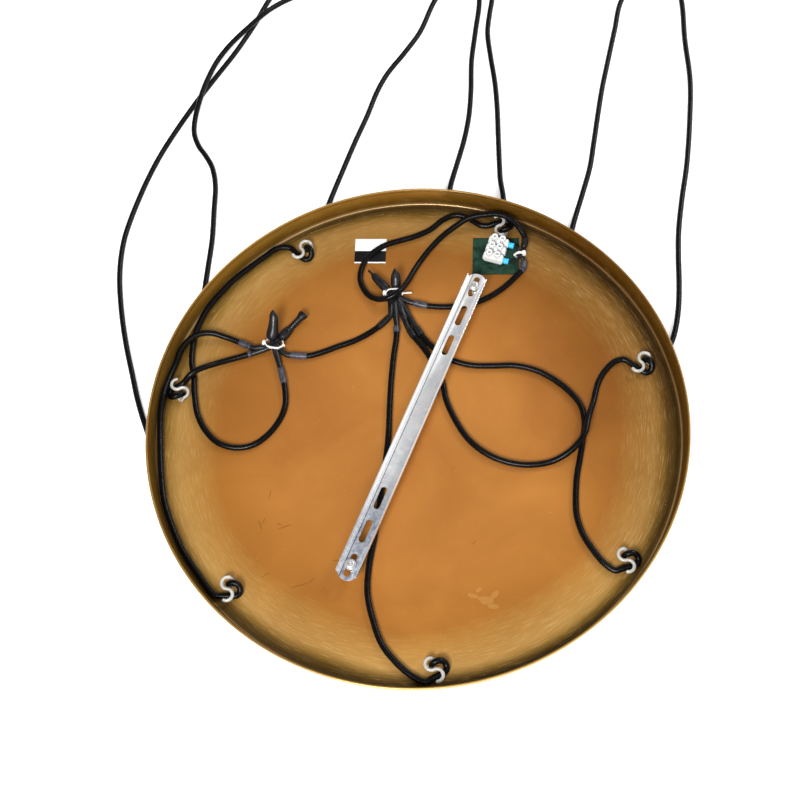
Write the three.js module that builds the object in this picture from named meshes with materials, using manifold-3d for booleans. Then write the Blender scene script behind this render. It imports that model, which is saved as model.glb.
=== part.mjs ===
import * as THREE from "three";
import { mergeVertices } from "three/addons/utils/BufferGeometryUtils.js";
import Module from "manifold-3d";

// Ceiling pan of a seven-cord pendant lamp, laid open side up on a table.
// Millimetres, +Z towards the ceiling. The origin is the middle of the ceiling bar's upper web face.
// Below, every height is counted from the table, and the last group moves the lamp to its origin.

// Driving dimensions
const touch = 0.3; // clearance between pieces that touch
const film = 0.05; // clearance under what is glued down

const cordDiameter = 6;
const cordLength = 1250; // from the pan's underside to the lampholder, the same for all seven
const cordFloor = cordDiameter / 2 + touch; // centre of a cord that lies on something

const panRadius = 250;
const sheet = 1;
const rimHeight = 24; // rim above the pan's floor
const wallLean = 4.5; // from the crease out to the rim
const riseWidth = 16.5; // of the floor's gentle rise to the crease
const creaseHeight = 2.2;
const hemHeight = 3.8;
const hemThickness = 2.2;
const cordCount = 7;
const cordInset = 4; // from the floor's edge in to the cord holes
const firstCordAngle = 60;
const cordHoleClearance = 0.4;

const barAngle = 60;
const barWidth = 20;
const barHeight = 6;
const barSheet = 1.2;
const barHalfLength = 164.6;
const flangeHalfLength = 159.5;
const mountingSpacing = 300;
const slotCount = 3; // on each half of the bar
const slotPitch = 33.7;
const slotLength = 22.5;
const slotWidth = 5.8;

const screwDiameter = 4;
const screwLength = 35;
const screwHole = 4.6;
const headDiameter = 8;
const headHeight = 2.4;
const washerDiameter = 10.4;
const washerHeight = 0.8;
const nutAcrossFlats = 7;
const nutHeight = 3.2;
const capNutDiameter = 13;
const capNutLength = 19.7;
const capNutBoreDepth = 16.5;

const gripBowl = 5.4; // radius of each bowl of the S, along the middle of its strand
const gripStrand = 3;
const gripThickness = 2.5;
const gripOpening = 78; // angle where a bowl's strand ends
const highStrand = 8.5; // centre of the lead where it comes back through the other bowl
const dive = 5; // bend radius into the hole

const holderDiameter = 28;
const holderLength = 56;
const holderBore = 15;
const holderBoreDepth = 30;
const coilPitch = 7.2;
const coilLayer = 6.8;
const cordStep = 3.8 * cordDiameter;
const coilTail = 34; // from the last turn to the lampholder

const blockLength = 28;
const blockWidth = 20;
const blockHeight = 9;
const towerHeight = 6;
const towerDiameter = 7;
const poleCount = 3;
const polePitch = 9.3;
const padSize = [45.7, 41.3];
const padThickness = 1;
const padInset = 29.6; // from the floor's edge in to the pad's middle
const padBearing = 58.8;

const labelSize = [31.3, 28];
const labelThickness = 0.25;
const labelInset = 30.8;
const labelBearing = 95.5;

// Radii inside the pan
const creaseRadius = panRadius - wallLean;
const floorRadius = creaseRadius - riseWidth;
const cordCircle = floorRadius - cordInset;

// Levels above the table
const panUnderside = capNutLength + touch;
const panFloor = panUnderside + sheet;
const rimTop = panFloor + rimHeight;
const webUnderside = rimTop - barHeight;
const webTop = webUnderside + barSheet;
const holderAxis = holderDiameter / 2 + 0.2;

const degree = Math.PI / 180;

// Finishes
const bronze = new THREE.MeshStandardMaterial({ color: 0xb57a38, roughness: 0.4, metalness: 0.7 });
const zinc = new THREE.MeshStandardMaterial({ color: 0xd2d4d2, roughness: 0.35, metalness: 0.9 });
const brass = new THREE.MeshStandardMaterial({ color: 0xb98d4b, roughness: 0.35, metalness: 0.9 });
const blackCable = new THREE.MeshStandardMaterial({ color: 0x111113, roughness: 0.45, metalness: 0 });
const blackTape = new THREE.MeshStandardMaterial({ color: 0x17171a, roughness: 0.6, metalness: 0 });
const whiteNylon = new THREE.MeshStandardMaterial({ color: 0xefefec, roughness: 0.4, metalness: 0 });
const blueNylon = new THREE.MeshStandardMaterial({ color: 0x2cb4ee, roughness: 0.5, metalness: 0 });
const greenFoam = new THREE.MeshStandardMaterial({ color: 0x1c3a30, roughness: 0.85, metalness: 0 });
const labelPaper = new THREE.MeshStandardMaterial({ color: 0xf1f1ee, roughness: 0.5, metalness: 0 });
const blackPlastic = new THREE.MeshStandardMaterial({ color: 0x1a1a1b, roughness: 0.4, metalness: 0 });

const wasm = await Module();
wasm.setup();

const lamp = new THREE.Group();

// Solids
function solidOf(geometry) {
  const loose = geometry.index ? geometry.toNonIndexed() : geometry;
  const plain = new THREE.BufferGeometry();
  plain.setAttribute("position", loose.getAttribute("position"));
  const merged = mergeVertices(plain, 1e-4);
  const vertProperties = merged.getAttribute("position").array;
  const triVerts = new Uint32Array(merged.index.array);
  return new wasm.Manifold(new wasm.Mesh({ numProp: 3, vertProperties, triVerts }));
}

function geometryOf(solid) {
  const mesh = solid.getMesh();
  const geometry = new THREE.BufferGeometry();
  geometry.setAttribute("position", new THREE.BufferAttribute(mesh.vertProperties, 3));
  geometry.setIndex(new THREE.BufferAttribute(mesh.triVerts, 1));
  geometry.computeVertexNormals();
  return geometry;
}

function joined(...geometries) {
  return geometryOf(geometries.map(solidOf).reduce((whole, piece) => whole.add(piece)));
}

function cut(geometry, ...tools) {
  return geometryOf(tools.map(solidOf).reduce((left, tool) => left.subtract(tool), solidOf(geometry)));
}

// A profile of [radius, height] pairs, from the foot of the axis outwards and up, turned about Z.
function turned(profile, segments) {
  const points = profile.map(([radius, height]) => new THREE.Vector2(radius, height));
  return new THREE.LatheGeometry(points, segments).rotateX(Math.PI / 2);
}

function rod(radius, bottom, top, segments) {
  return turned([[0, bottom], [radius, bottom], [radius, top], [0, top]], segments);
}

function block(length, width, height) {
  return new THREE.BoxGeometry(length, width, height);
}

// Points on a circle, both ends included.
function arc(x, y, radius, from, to, steps) {
  return Array.from({ length: steps + 1 }, (_, i) => {
    const angle = (from + ((to - from) * i) / steps) * degree;
    return [x + radius * Math.cos(angle), y + radius * Math.sin(angle)];
  });
}

function plate(outline, thickness) {
  const shape = new THREE.Shape(outline.map(([x, y]) => new THREE.Vector2(x, y)));
  return new THREE.ExtrudeGeometry(shape, { depth: thickness, bevelEnabled: false });
}

// One closed tube through the given centres, with a flat face square to each end.
function tube(centres, diameter, sides) {
  const last = centres.length - 1;
  const headings = centres.map((_, i) => {
    const ahead = centres[Math.min(i + 1, last)].clone().sub(centres[Math.min(i, last - 1)]).normalize();
    const behind = centres[Math.max(i, 1)].clone().sub(centres[Math.max(i - 1, 0)]).normalize();
    return ahead.add(behind).normalize();
  });
  const across = new THREE.Vector3(0, 0, 1);
  if (Math.abs(headings[0].z) > 0.9) across.set(1, 0, 0);
  const vertices = [];
  centres.forEach((centre, i) => {
    across.addScaledVector(headings[i], -across.dot(headings[i])).normalize();
    const sideways = headings[i].clone().cross(across);
    for (let k = 0; k < sides; k++) {
      const angle = ((k + 0.5) / sides) * 2 * Math.PI;
      const point = centre.clone().addScaledVector(across, (diameter / 2) * Math.cos(angle));
      vertices.push(...point.addScaledVector(sideways, (diameter / 2) * Math.sin(angle)).toArray());
    }
  });
  const faces = [];
  for (let i = 0; i < last; i++) {
    for (let k = 0; k < sides; k++) {
      const a = i * sides + k;
      const b = i * sides + ((k + 1) % sides);
      faces.push(a, b, a + sides, b, b + sides, a + sides);
    }
  }
  for (let k = 1; k < sides - 1; k++) {
    faces.push(0, k + 1, k, last * sides, last * sides + k, last * sides + k + 1);
  }
  const geometry = new THREE.BufferGeometry();
  geometry.setAttribute("position", new THREE.Float32BufferAttribute(vertices, 3));
  geometry.setIndex(faces);
  return geometry;
}

// A smooth curve through hand-chosen points, with a centre at most `step` from the last one, and
// sooner where the curve has turned by `bend` degrees. Its ends run straight to the next point.
function smooth(points, step, bend = 34) {
  const curve = new THREE.CatmullRomCurve3(points, false, "centripetal");
  const fine = curve.getPoints(12 * (points.length - 1));
  fine.splice(1, 11);
  fine.splice(fine.length - 12, 11);
  const last = fine.length - 1;
  const kept = [fine[0]];
  let gone = 0;
  let turnedBy = 0;
  for (let i = 1; i < last; i++) {
    const before = fine[i].clone().sub(fine[i - 1]);
    const after = fine[i + 1].clone().sub(fine[i]);
    gone += before.length();
    turnedBy += before.angleTo(after) / degree;
    if (i === 1 || i === last - 1 || gone + after.length() > step || turnedBy > bend) {
      kept.push(fine[i]);
      gone = 0;
      turnedBy = 0;
    }
  }
  kept.push(fine[last]);
  return kept;
}

function lengthOf(points) {
  return points.slice(1).reduce((sum, point, i) => sum + point.distanceTo(points[i]), 0);
}

function add(name, geometry, finish, parent = lamp) {
  const mesh = new THREE.Mesh(geometry, finish);
  mesh.name = name;
  parent.add(mesh);
  return mesh;
}

// Canopy pan: flat floor, gentle rise to a crease, steep wall and a hemmed rim, in one pressed sheet
const riseRadius = ((creaseRadius - floorRadius) ** 2 + creaseHeight ** 2) / (2 * creaseHeight);
const riseAngle = Math.asin((creaseRadius - floorRadius) / riseRadius) / degree;

function polar(radius, bearing) {
  return new THREE.Vector2(radius * Math.cos(bearing * degree), radius * Math.sin(bearing * degree));
}

function cordHole(index) {
  return polar(cordCircle, firstCordAngle + (360 / cordCount) * index);
}

const padPlace = polar(floorRadius - padInset, padBearing);
const labelPlace = polar(floorRadius - labelInset, labelBearing);

function panProfile() {
  const middle = panFloor + riseRadius;
  const top = arc(floorRadius, middle, riseRadius, riseAngle - 90, -90, 2);
  const bottom = arc(floorRadius, middle, riseRadius + sheet, -90, riseAngle - 90, 2);
  const lean = (panRadius - sheet - creaseRadius) / (rimHeight - creaseHeight);
  const hemFoot = rimHeight - hemHeight;
  const wallAtHem = creaseRadius + lean * (hemFoot - creaseHeight);
  return [
    [0, panUnderside],
    ...bottom,
    [creaseRadius + 0.95 * sheet, panFloor + creaseHeight - 0.75 * sheet],
    [panRadius, rimTop - 0.6],
    [panRadius - 0.6, rimTop],
    [panRadius - hemThickness + 0.6, rimTop],
    [panRadius - hemThickness, rimTop - 0.6],
    [panRadius - hemThickness, panFloor + hemFoot],
    [wallAtHem, panFloor + hemFoot - 0.4],
    ...top,
    [0, panFloor],
  ];
}

function canopyPan() {
  const holes = Array.from({ length: cordCount }, (_, i) => {
    const place = cordHole(i);
    const hole = rod(cordDiameter / 2 + cordHoleClearance, panUnderside - 5, panFloor + 5, 12);
    return hole.translate(place.x, place.y, 0);
  });
  const screwHoles = [-1, 1].map((side) => {
    const hole = rod(screwHole / 2, panUnderside - 5, panFloor + 5, 12);
    return hole.translate((side * mountingSpacing) / 2, 0, 0).rotateZ(barAngle * degree);
  });
  return cut(turned(panProfile(), 52), ...holes, ...screwHoles);
}

add("canopy_pan", canopyPan(), bronze);

// Ceiling bar: a channel with its flanges up, a row of slots in each half and rounded web ends
function ceilingBar() {
  const round = barWidth / 2;
  const reach = barHalfLength - round;
  const outline = [...arc(reach, 0, round, -90, 90, 8), ...arc(-reach, 0, round, 90, 270, 8)];
  const web = plate(outline, barSheet).translate(0, 0, webUnderside);
  const flanges = [-1, 1].map((side) => {
    const flange = block(2 * flangeHalfLength, barSheet, barHeight);
    return flange.translate(0, (side * (barWidth - barSheet)) / 2, webUnderside + barHeight / 2);
  });
  const slots = [];
  for (const side of [-1, 1]) {
    for (let i = 0; i < slotCount; i++) {
      const middle = side * (mountingSpacing / 2 - i * slotPitch);
      const run = (slotLength - slotWidth) / 2;
      const ends = [...arc(run, 0, slotWidth / 2, -90, 90, 5), ...arc(-run, 0, slotWidth / 2, 90, 270, 5)];
      slots.push(plate(ends, 4 * barSheet).translate(middle, 0, webUnderside - barSheet));
    }
  }
  return cut(joined(web, ...flanges), ...slots);
}

// Mounting screws: pan head on a washer face, cross recess
function mountingScrew() {
  const seat = webTop + touch;
  const top = seat + washerHeight + headHeight;
  const body = turned(
    [
      [0, seat - screwLength],
      [screwDiameter / 2 - 0.5, seat - screwLength],
      [screwDiameter / 2, seat - screwLength + 0.8],
      [screwDiameter / 2, seat],
      [washerDiameter / 2, seat],
      [washerDiameter / 2, seat + washerHeight],
      [headDiameter / 2, seat + washerHeight],
      [headDiameter / 2, top - 1],
      [headDiameter / 2 - 1.2, top],
      [0, top],
    ],
    12,
  );
  const crosses = [block(4.6, 0.9, 2.4), block(0.9, 4.6, 2.4)];
  return cut(body, ...crosses.map((cross) => cross.rotateZ(20 * degree).translate(0, 0, top)));
}

function lockNut() {
  const radius = nutAcrossFlats / 2 / Math.cos(30 * degree);
  const nut = rod(radius, webUnderside - touch - nutHeight, webUnderside - touch, 6);
  return cut(nut, rod(screwDiameter / 2 + touch, webUnderside - 9, webUnderside + 1, 12));
}

// Cap nuts: the knurled nuts that hold the pan from below, and that it stands on here
function capNut() {
  const radius = capNutDiameter / 2;
  const bore = screwDiameter / 2 + touch;
  return turned(
    [
      [0, 0],
      [radius - 1, 0],
      [radius, 1],
      [radius, capNutLength - 0.5],
      [radius - 0.5, capNutLength],
      [bore, capNutLength],
      [bore, capNutLength - capNutBoreDepth],
      [0, capNutLength - capNutBoreDepth - 1],
    ],
    14,
  );
}

function fixings() {
  const group = new THREE.Group();
  group.rotation.z = barAngle * degree;
  lamp.add(group);
  add("ceiling_bar", ceilingBar(), zinc, group);
  for (const [end, side] of [["far", 1], ["near", -1]]) {
    const x = (side * mountingSpacing) / 2;
    add("bar_screw_" + end, mountingScrew(), zinc, group).position.x = x;
    add("lock_nut_" + end, lockNut(), zinc, group).position.x = x;
    add("cap_nut_" + end, capNut(), brass, group).position.x = x;
  }
}

fixings();

// Cord grips: a flat S. The lead runs under one bowl, curls back over and dives through the other
// bowl into its hole in the pan. In a grip's own frame v points from the first bowl to the second,
// u is square to it, and both are counted from the middle of the S.
const grips = {
  a: { hole: 1, heading: 38, hand: 1, low: cordFloor },
  b: { hole: 2, heading: 294, hand: 1, low: 4 },
  c: { hole: 3, heading: 80, hand: 1, low: 3.6 },
  d: { hole: 4, heading: 108, hand: 1, low: 3.8 },
  e: { hole: 5, heading: 95, hand: 1, low: 4.1 },
  f: { hole: 6, heading: 42, hand: 1, low: cordFloor },
  g: { hole: 0, heading: 275, hand: -1, low: 4.2 },
};

function gripOutline() {
  const outer = gripBowl + gripStrand / 2;
  const inner = gripBowl - gripStrand / 2;
  const start = gripOpening;
  const end = gripOpening - 180;
  const tipX = gripBowl * Math.cos(start * degree);
  const tipY = gripBowl * Math.sin(start * degree);
  return [
    ...arc(0, gripBowl, outer, start, 270, 7),
    ...arc(0, -gripBowl, inner, 90, end, 6).slice(1),
    ...arc(-tipX, -gripBowl - tipY, gripStrand / 2, end + 180, end, 3).slice(1, -1),
    ...arc(0, -gripBowl, outer, end, 90, 7),
    ...arc(0, gripBowl, inner, 270, start, 6).slice(1),
    ...arc(tipX, gripBowl + tipY, gripStrand / 2, start + 180, start, 3).slice(1, -1),
  ];
}

function gripPoint(grip, u, v, height) {
  const hole = cordHole(grip.hole);
  const along = grip.heading * degree;
  const side = along - (grip.hand * Math.PI) / 2;
  const x = hole.x + u * Math.cos(side) + (v - gripBowl) * Math.cos(along);
  const y = hole.y + u * Math.sin(side) + (v - gripBowl) * Math.sin(along);
  return new THREE.Vector3(x, y, panFloor + height);
}

function cordGrip(grip) {
  const underside = grip.low + cordDiameter / 2 + touch;
  const points = gripOutline().map(([u, v]) => {
    const place = gripPoint(grip, u, v, 0);
    return [place.x, place.y];
  });
  return plate(points, gripThickness).translate(0, 0, panFloor + underside);
}

// The lead's way through its grip, from the low strand down to the pan's underside.
function threading(grip) {
  const curlMiddle = gripBowl + 0.6;
  const points = [gripPoint(grip, -5, -gripBowl, grip.low), gripPoint(grip, 1, -gripBowl, grip.low)];
  for (const angle of [-90, -60, -30, 0, 30, 60, 90]) {
    const climbed = Math.max(0, (angle + 30) / 120);
    const rise = (1 - Math.cos(climbed * Math.PI)) / 2;
    const u = curlMiddle + gripBowl * Math.cos(angle * degree);
    const height = grip.low + (highStrand - grip.low) * rise;
    points.push(gripPoint(grip, u, gripBowl * Math.sin(angle * degree), height));
  }
  for (const angle of [120, 150, 180]) {
    const u = dive + dive * Math.cos(angle * degree);
    points.push(gripPoint(grip, u, gripBowl, highStrand - dive + dive * Math.sin(angle * degree)));
  }
  points.push(gripPoint(grip, 0, gripBowl, 1), gripPoint(grip, 0, gripBowl, panUnderside - panFloor));
  return points;
}

for (const [letter, grip] of Object.entries(grips)) add("cord_grip_" + letter, cordGrip(grip), whiteNylon);

// Leads inside the pan, each from its splice to its grip: x, y and, where it is lifted off the
// floor, the height of its centre above the floor's flat
const leadRoutes = {
  a: [
    [-120.3, 80], [-118.6, 67], [-118, 55], [-119.5, 40], [-126, 26], [-139, 12], [-154, 4], [-170, 4],
    [-186, 12], [-197, 27], [-203, 44], [-204.5, 65], [-204, 84], [-205, 100], [-203, 116], [-200, 129],
    [-194, 142], [-184.7, 156.9], [-170.3, 172.3], [-155.5, 185.4], [-140, 196], [-124, 206],
    [-110, 213.5], [-97.5, 211.5],
  ],
  b: [
    [-146.5, 99.8], [-163, 97.5], [-179, 94, 5.5], [-192, 89.4, 9.6], [-200, 86.3, 11], [-206, 83.2, 10.3],
    [-210.1, 80.9, 7.4],
  ],
  c: [
    [-146.5, 107.3], [-157, 114], [-170, 121, 5], [-184, 126, 8.5], [-199, 124.5, 10.2],
    [-212, 115, 8.4], [-220.3, 100.6], [-228.1, 82.7, 6.4], [-232.6, 68.2, 9.2], [-237.1, 49.4, 7], [-239.6, 20],
    [-240, -18], [-238.3, -42], [-232.3, -67], [-224.4, -90], [-212, -114], [-204.5, -127.5],
    [-198.6, -135.4],
  ],
  d: [
    [-4.2, 107], [-6, 95], [-11, 76], [-17, 49], [-22, 21], [-27, -8], [-38, -53], [-51, -101],
    [-60, -130], [-64, -154], [-62, -178], [-57, -200], [-46.5, -218], [-35, -231], [-24, -238.1],
  ],
  e: [
    [14.2, 102.8], [18.5, 93.5], [26, 80.5], [36, 68], [48, 59.5], [62, 53.5], [81, 50], [101, 47],
    [120, 39], [135, 27], [148, 11], [155, -4], [155, -21, 4], [150.5, -37, 5.4], [144, -56, 4],
    [138, -73], [133, -94], [131, -109], [133, -127], [139.5, -144], [147, -157.5], [154.8, -164.8],
  ],
  f: [
    [7.3, 102], [10.2, 94.5], [19.5, 77], [27, 57], [31, 41], [32, 21], [38, -2], [47, -22], [62, -39],
    [80, -50], [98, -55], [118, -55, 4], [134, -50.5, 8.6], [145.5, -43, 12], [152.5, -34.5, 13],
    [158.5, -20, 11], [167, -2, 4.6], [176, 18], [186, 30], [195.5, 36.3], [203.5, 37],
    [207.1, 34.5],
  ],
  g: [
    [131.4, 172.6, 5.8], [133.2, 177.5, 8], [133.2, 183.5, 10.6], [130, 191, 13.5], [123, 201, 15.6],
    [112, 208.5, 15.8], [97, 212, 13], [83, 212.5, 10.6], [69, 208, 6.4], [55, 201], [39, 187],
    [23, 168, 4.4], [11.5, 149, 10], [2.5, 137.6, 15.4], [-8.5, 133.8, 13.2], [-20, 138.5, 6.4],
    [-28.5, 148], [-33, 164, 3.6], [-28, 181, 3.8], [-19, 191, 3.8], [-4, 199, 3.8], [13, 202.5], [28, 205], [43, 210],
    [57, 219], [70, 222.5], [80, 219], [88, 212], [94, 206.5], [100.6, 204.7],
  ],
};

// Leads from splice to splice, and on to the terminals
const feedRoutes = {
  link_lead: [
    [-110.3, 92.6], [-94, 88.8], [-81, 90], [-64, 94], [-46, 98], [-30, 104.5], [-19, 111],
    [-10.6, 117.4, 4],
  ],
  feed_lead: [
    [14.5, 130, 3.8], [29, 124.2], [48, 120], [64, 119.5], [80, 121.5], [94, 126.5], [108, 134.5, 3.5],
    [119, 142.6, 4.8], [127.4, 150.5, 4.8], [128.9, 157.6, 5],
  ],
};

const leadStep = 3.5 * cordDiameter;

// Height of the centre of a lead that lies on the pan: more on the rise towards the crease.
function lyingAt(x, y) {
  const out = Math.max(0, Math.hypot(x, y) - floorRadius);
  return riseRadius - (riseRadius - cordFloor) * Math.sqrt(1 - (out / (riseRadius - cordFloor)) ** 2);
}

function inPan([x, y, height = lyingAt(x, y)]) {
  return new THREE.Vector3(x, y, panFloor + height);
}

const leadCentres = {};
for (const [letter, route] of Object.entries(leadRoutes)) {
  leadCentres["lead_" + letter] = smooth([...route.map(inPan), ...threading(grips[letter])], leadStep);
}
for (const [name, route] of Object.entries(feedRoutes)) {
  leadCentres[name] = smooth(route.map(inPan), leadStep);
}
for (const [name, centres] of Object.entries(leadCentres)) {
  add(name, tube(centres, cordDiameter, 8), blackCable);
}

// Splices: the cores of the leads meet in a knot, two capped joints stand off it, a tie holds them.
// The third knot gathers the feed's cores at the terminals.
const knots = {
  1: {
    middle: [-123.5, 106.5, 5.6],
    heading: 70,
    size: [7.4, 4.2],
    caps: ["splice_cap_1a", "splice_cap_1b"],
    cores: [["lead_a", 1, -3.6], ["lead_b", -2.6, -4.2], ["lead_c", -4.4, -3.9], ["link_lead", 3.6, -2.6]],
  },
  2: {
    middle: [-2, 141.5, 5.6],
    heading: 84,
    size: [7.4, 4.2],
    caps: ["splice_cap_2a", "splice_cap_2b"],
    cores: [["lead_d", -0.6, -4], ["link_lead end", -3.6, -3.2], ["lead_e", 3.2, -3], ["lead_f", 1.6, -3.6],
      ["feed_lead", 4.3, -2.8]],
  },
  3: {
    middle: [padPlace.x + 22.1, padPlace.y - 5.5, 6.3],
    heading: 90,
    size: [4.4, 3.7],
    cores: [["lead_g", 1.4, 3.6], ["feed_lead end", 1.4, -3.6]],
  },
};
const tieThickness = 1.1;
const tieBand = 2.4;
const coreDiameter = 2.2;

// Capped joints: [distance along the joint, radius] from the end that leaves the knot
const splicePoints = [[0, 3.4], [1.2, 4.9], [4, 5.4], [14, 4.8], [20, 3.4], [25.5, 0.5]];
const spliceCaps = {
  splice_cap_1a: { from: [-124.3, 113.9, 8.6], to: [-118, 128.9, 24.2], shape: splicePoints },
  splice_cap_1b: {
    from: [-114.8, 112.4, 5.4],
    to: [-91.5, 133.5, 6.8],
    shape: [[0, 4.4], [1, 5], [8, 4.9], [10, 3.9], [24, 3.8], [28, 4.9], [31, 5.2]],
  },
  splice_cap_2a: {
    from: [-8.4, 148.4, 5.6],
    to: [-23.8, 170.4, 9.5],
    shape: [[0, 3.6], [1.2, 4.4], [16, 4.1], [20, 3.4], [21, 1.3], [27, 1.1]],
  },
  splice_cap_2b: {
    from: [1.2, 149.8, 8],
    to: [2.9, 162, 19.5],
    shape: splicePoints.map(([along, radius]) => [along * 0.67, radius * 0.96]),
  },
};

// Where a lead ends and which way it points there.
function leadEnd(name) {
  const [lead, end] = name.split(" ");
  const centres = leadCentres[lead];
  const last = centres.length - 1;
  const [tip, before] = end ? [centres[last], centres[last - 1]] : [centres[0], centres[1]];
  return { tip, outward: tip.clone().sub(before).normalize() };
}

// The knot and the cores, two for each lead, joined as one body.
function knotCores(knot, ...more) {
  const [x, y, height] = knot.middle;
  const [halfWidth, halfHeight] = knot.size;
  const turn = (knot.heading - 90) * degree;
  const lump = new THREE.SphereGeometry(1, 8, 4).rotateX(Math.PI / 2);
  lump.scale(halfWidth - 0.7, 5.2, halfHeight - 0.6);
  lump.rotateZ(turn).translate(x, y, panFloor + height);
  const cores = knot.cores.flatMap(([name, along, out]) => {
    const { tip, outward } = leadEnd(name);
    const place = new THREE.Vector2(along, out).rotateAround(new THREE.Vector2(), turn);
    const target = new THREE.Vector3(x + place.x, y + place.y, panFloor + height);
    const square = new THREE.Vector3(-outward.y, outward.x, 0).normalize();
    return [-1, 1].map((side) => {
      const offset = side * (coreDiameter / 2 + 0.12);
      const face = tip.clone().addScaledVector(square, offset);
      const points = [
        face.clone().addScaledVector(outward, touch),
        face.clone().addScaledVector(outward, 2.2),
        target.clone().addScaledVector(square, 0.6 * offset),
      ];
      return tube(smooth(points, 40, 60), coreDiameter, 5);
    });
  });
  const middle = new THREE.Vector3(x, y, panFloor + height);
  const stems = (knot.caps ?? []).map((name) => {
    const { from, to } = spliceCaps[name];
    const base = inPan(from);
    const way = inPan(to).sub(base).normalize();
    return tube([middle, base.clone().addScaledVector(way, -4), base.addScaledVector(way, -touch)], 4.4, 5);
  });
  return joined(lump, ...cores, ...stems, ...more);
}

function tieLoop(halfWidth, halfHeight) {
  const outer = [
    ...arc(halfWidth - halfHeight, 0, halfHeight + tieThickness, -90, 90, 5),
    ...arc(halfHeight - halfWidth, 0, halfHeight + tieThickness, 90, 270, 5),
  ];
  const inner = [
    ...arc(halfWidth - halfHeight, 0, halfHeight, -90, 90, 5),
    ...arc(halfHeight - halfWidth, 0, halfHeight, 90, 270, 5),
  ];
  const shape = new THREE.Shape(outer.map(([x, y]) => new THREE.Vector2(x, y)));
  shape.holes.push(new THREE.Path(inner.reverse().map(([x, y]) => new THREE.Vector2(x, y))));
  const loop = new THREE.ExtrudeGeometry(shape, { depth: tieBand, bevelEnabled: false });
  return loop.translate(0, 0, -tieBand / 2).rotateX(Math.PI / 2);
}

// A closed tie: its loop, the square head and the cut-off tail.
function cableTie(halfWidth, halfHeight, headSide, tail) {
  const edge = headSide * (halfWidth + tieThickness / 2);
  const head = block(3.4, 4.4, 4.2).translate(edge + headSide * 1, 0, 1.6);
  const stub = block(tail, tieBand, tieThickness);
  stub.translate(-headSide * (halfWidth + tieThickness + tail / 2 - 0.4), 0, 0.6);
  return joined(tieLoop(halfWidth, halfHeight), head, stub);
}

function placeTie(name, knot, headSide, tail) {
  const tie = add(name, cableTie(...knot.size, headSide, tail), whiteNylon);
  tie.position.set(knot.middle[0], knot.middle[1], panFloor + knot.middle[2]);
  tie.rotation.z = (knot.heading - 90) * degree;
}

for (const number of [1, 2]) add("splice_cores_" + number, knotCores(knots[number]), blackCable);
placeTie("cable_tie_1", knots[1], -1, 2);
placeTie("cable_tie_2", knots[2], -1, 9);
placeTie("cable_tie_3", knots[3], 1, 2);

function spliceCap({ from, to, shape }) {
  const start = new THREE.Vector3(...from);
  const way = new THREE.Vector3(...to).sub(start).normalize();
  const end = shape[shape.length - 1][0];
  const profile = [[0, 0], ...shape.map(([along, radius]) => [radius, along]), [0, end]];
  const cap = turned(profile, 9);
  cap.applyQuaternion(new THREE.Quaternion().setFromUnitVectors(new THREE.Vector3(0, 0, 1), way));
  return cap.translate(start.x, start.y, start.z + panFloor);
}

for (const [name, cap] of Object.entries(spliceCaps)) add(name, spliceCap(cap), blackTape);

// Terminal block on its foam pad: three poles, two screw towers and two wire entries each
const blockPlace = [padPlace.x + 0.7, padPlace.y + 3.5];
const blockHeading = 64;
const padHeading = -9.6;
const blockSeat = film + padThickness + touch;
const entryHeight = 4.6;
const entryDiameter = 4.4;
const entryDepth = 3;

function terminalBlock() {
  const solids = [];
  const cuts = [];
  for (let i = 0; i < poleCount; i++) {
    const y = (i - (poleCount - 1) / 2) * polePitch;
    const pole = block(blockWidth, polePitch - 0.9, blockHeight);
    solids.push(pole.translate(0, y, blockHeight / 2));
    for (const side of [-1, 1]) {
      const radius = towerDiameter / 2;
      const tower = turned(
        [[0, 1], [radius, 1], [radius, blockHeight + towerHeight - 0.8],
          [radius - 0.8, blockHeight + towerHeight], [0, blockHeight + towerHeight]],
        8,
      );
      solids.push(tower.translate(side * 4, y, 0));
      cuts.push(rod(1.9, blockHeight + towerHeight - 4, 20, 6).translate(side * 4, y, 0));
      const entry = rod(entryDiameter / 2, -entryDepth, entryDepth, 8).rotateY(Math.PI / 2);
      cuts.push(entry.translate((side * blockWidth) / 2, y, entryHeight));
    }
  }
  solids.push(block(blockWidth - 3, blockLength, blockHeight - 3).translate(0, 0, (blockHeight - 3) / 2));
  return cut(joined(...solids), ...cuts);
}

function terminals() {
  const place = add("terminal_block", terminalBlock(), whiteNylon);
  place.position.set(blockPlace[0], blockPlace[1], panFloor + blockSeat);
  place.rotation.z = (blockHeading - 90) * degree;
  const pad = add("terminal_pad", block(padSize[0], padSize[1], padThickness), greenFoam);
  pad.position.set(padPlace.x, padPlace.y, panFloor + film + padThickness / 2);
  pad.rotation.z = padHeading * degree;
}

terminals();

// Ferrules in the outer poles, and the cores that run from them to the knot under the third tie
function blockPoint(x, y, height) {
  const turn = (blockHeading - 90) * degree;
  const place = new THREE.Vector2(x, y).rotateAround(new THREE.Vector2(), turn);
  return new THREE.Vector3(
    place.x + blockPlace[0],
    place.y + blockPlace[1],
    panFloor + blockSeat + height,
  );
}

const ferruleReach = blockWidth / 2 + 5;

function ferrule(pole) {
  const inside = blockPoint(blockWidth / 2 - entryDepth + 0.6, pole * polePitch, entryHeight);
  const outside = blockPoint(ferruleReach, pole * polePitch, entryHeight);
  return tube([inside, outside], entryDiameter - 2 * touch, 8);
}

// `way` is counted from the middle of the third knot.
function ferruleCore(pole, way) {
  const [x, y] = knots[3].middle;
  const face = blockPoint(ferruleReach + touch, pole * polePitch, entryHeight);
  const beyond = blockPoint(ferruleReach + 2.4, pole * polePitch, entryHeight);
  const points = way.map(([right, up, height]) => inPan([x + right, y + up, height]));
  return tube(smooth([face, beyond, ...points], 9, 40), coreDiameter, 5);
}

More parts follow.
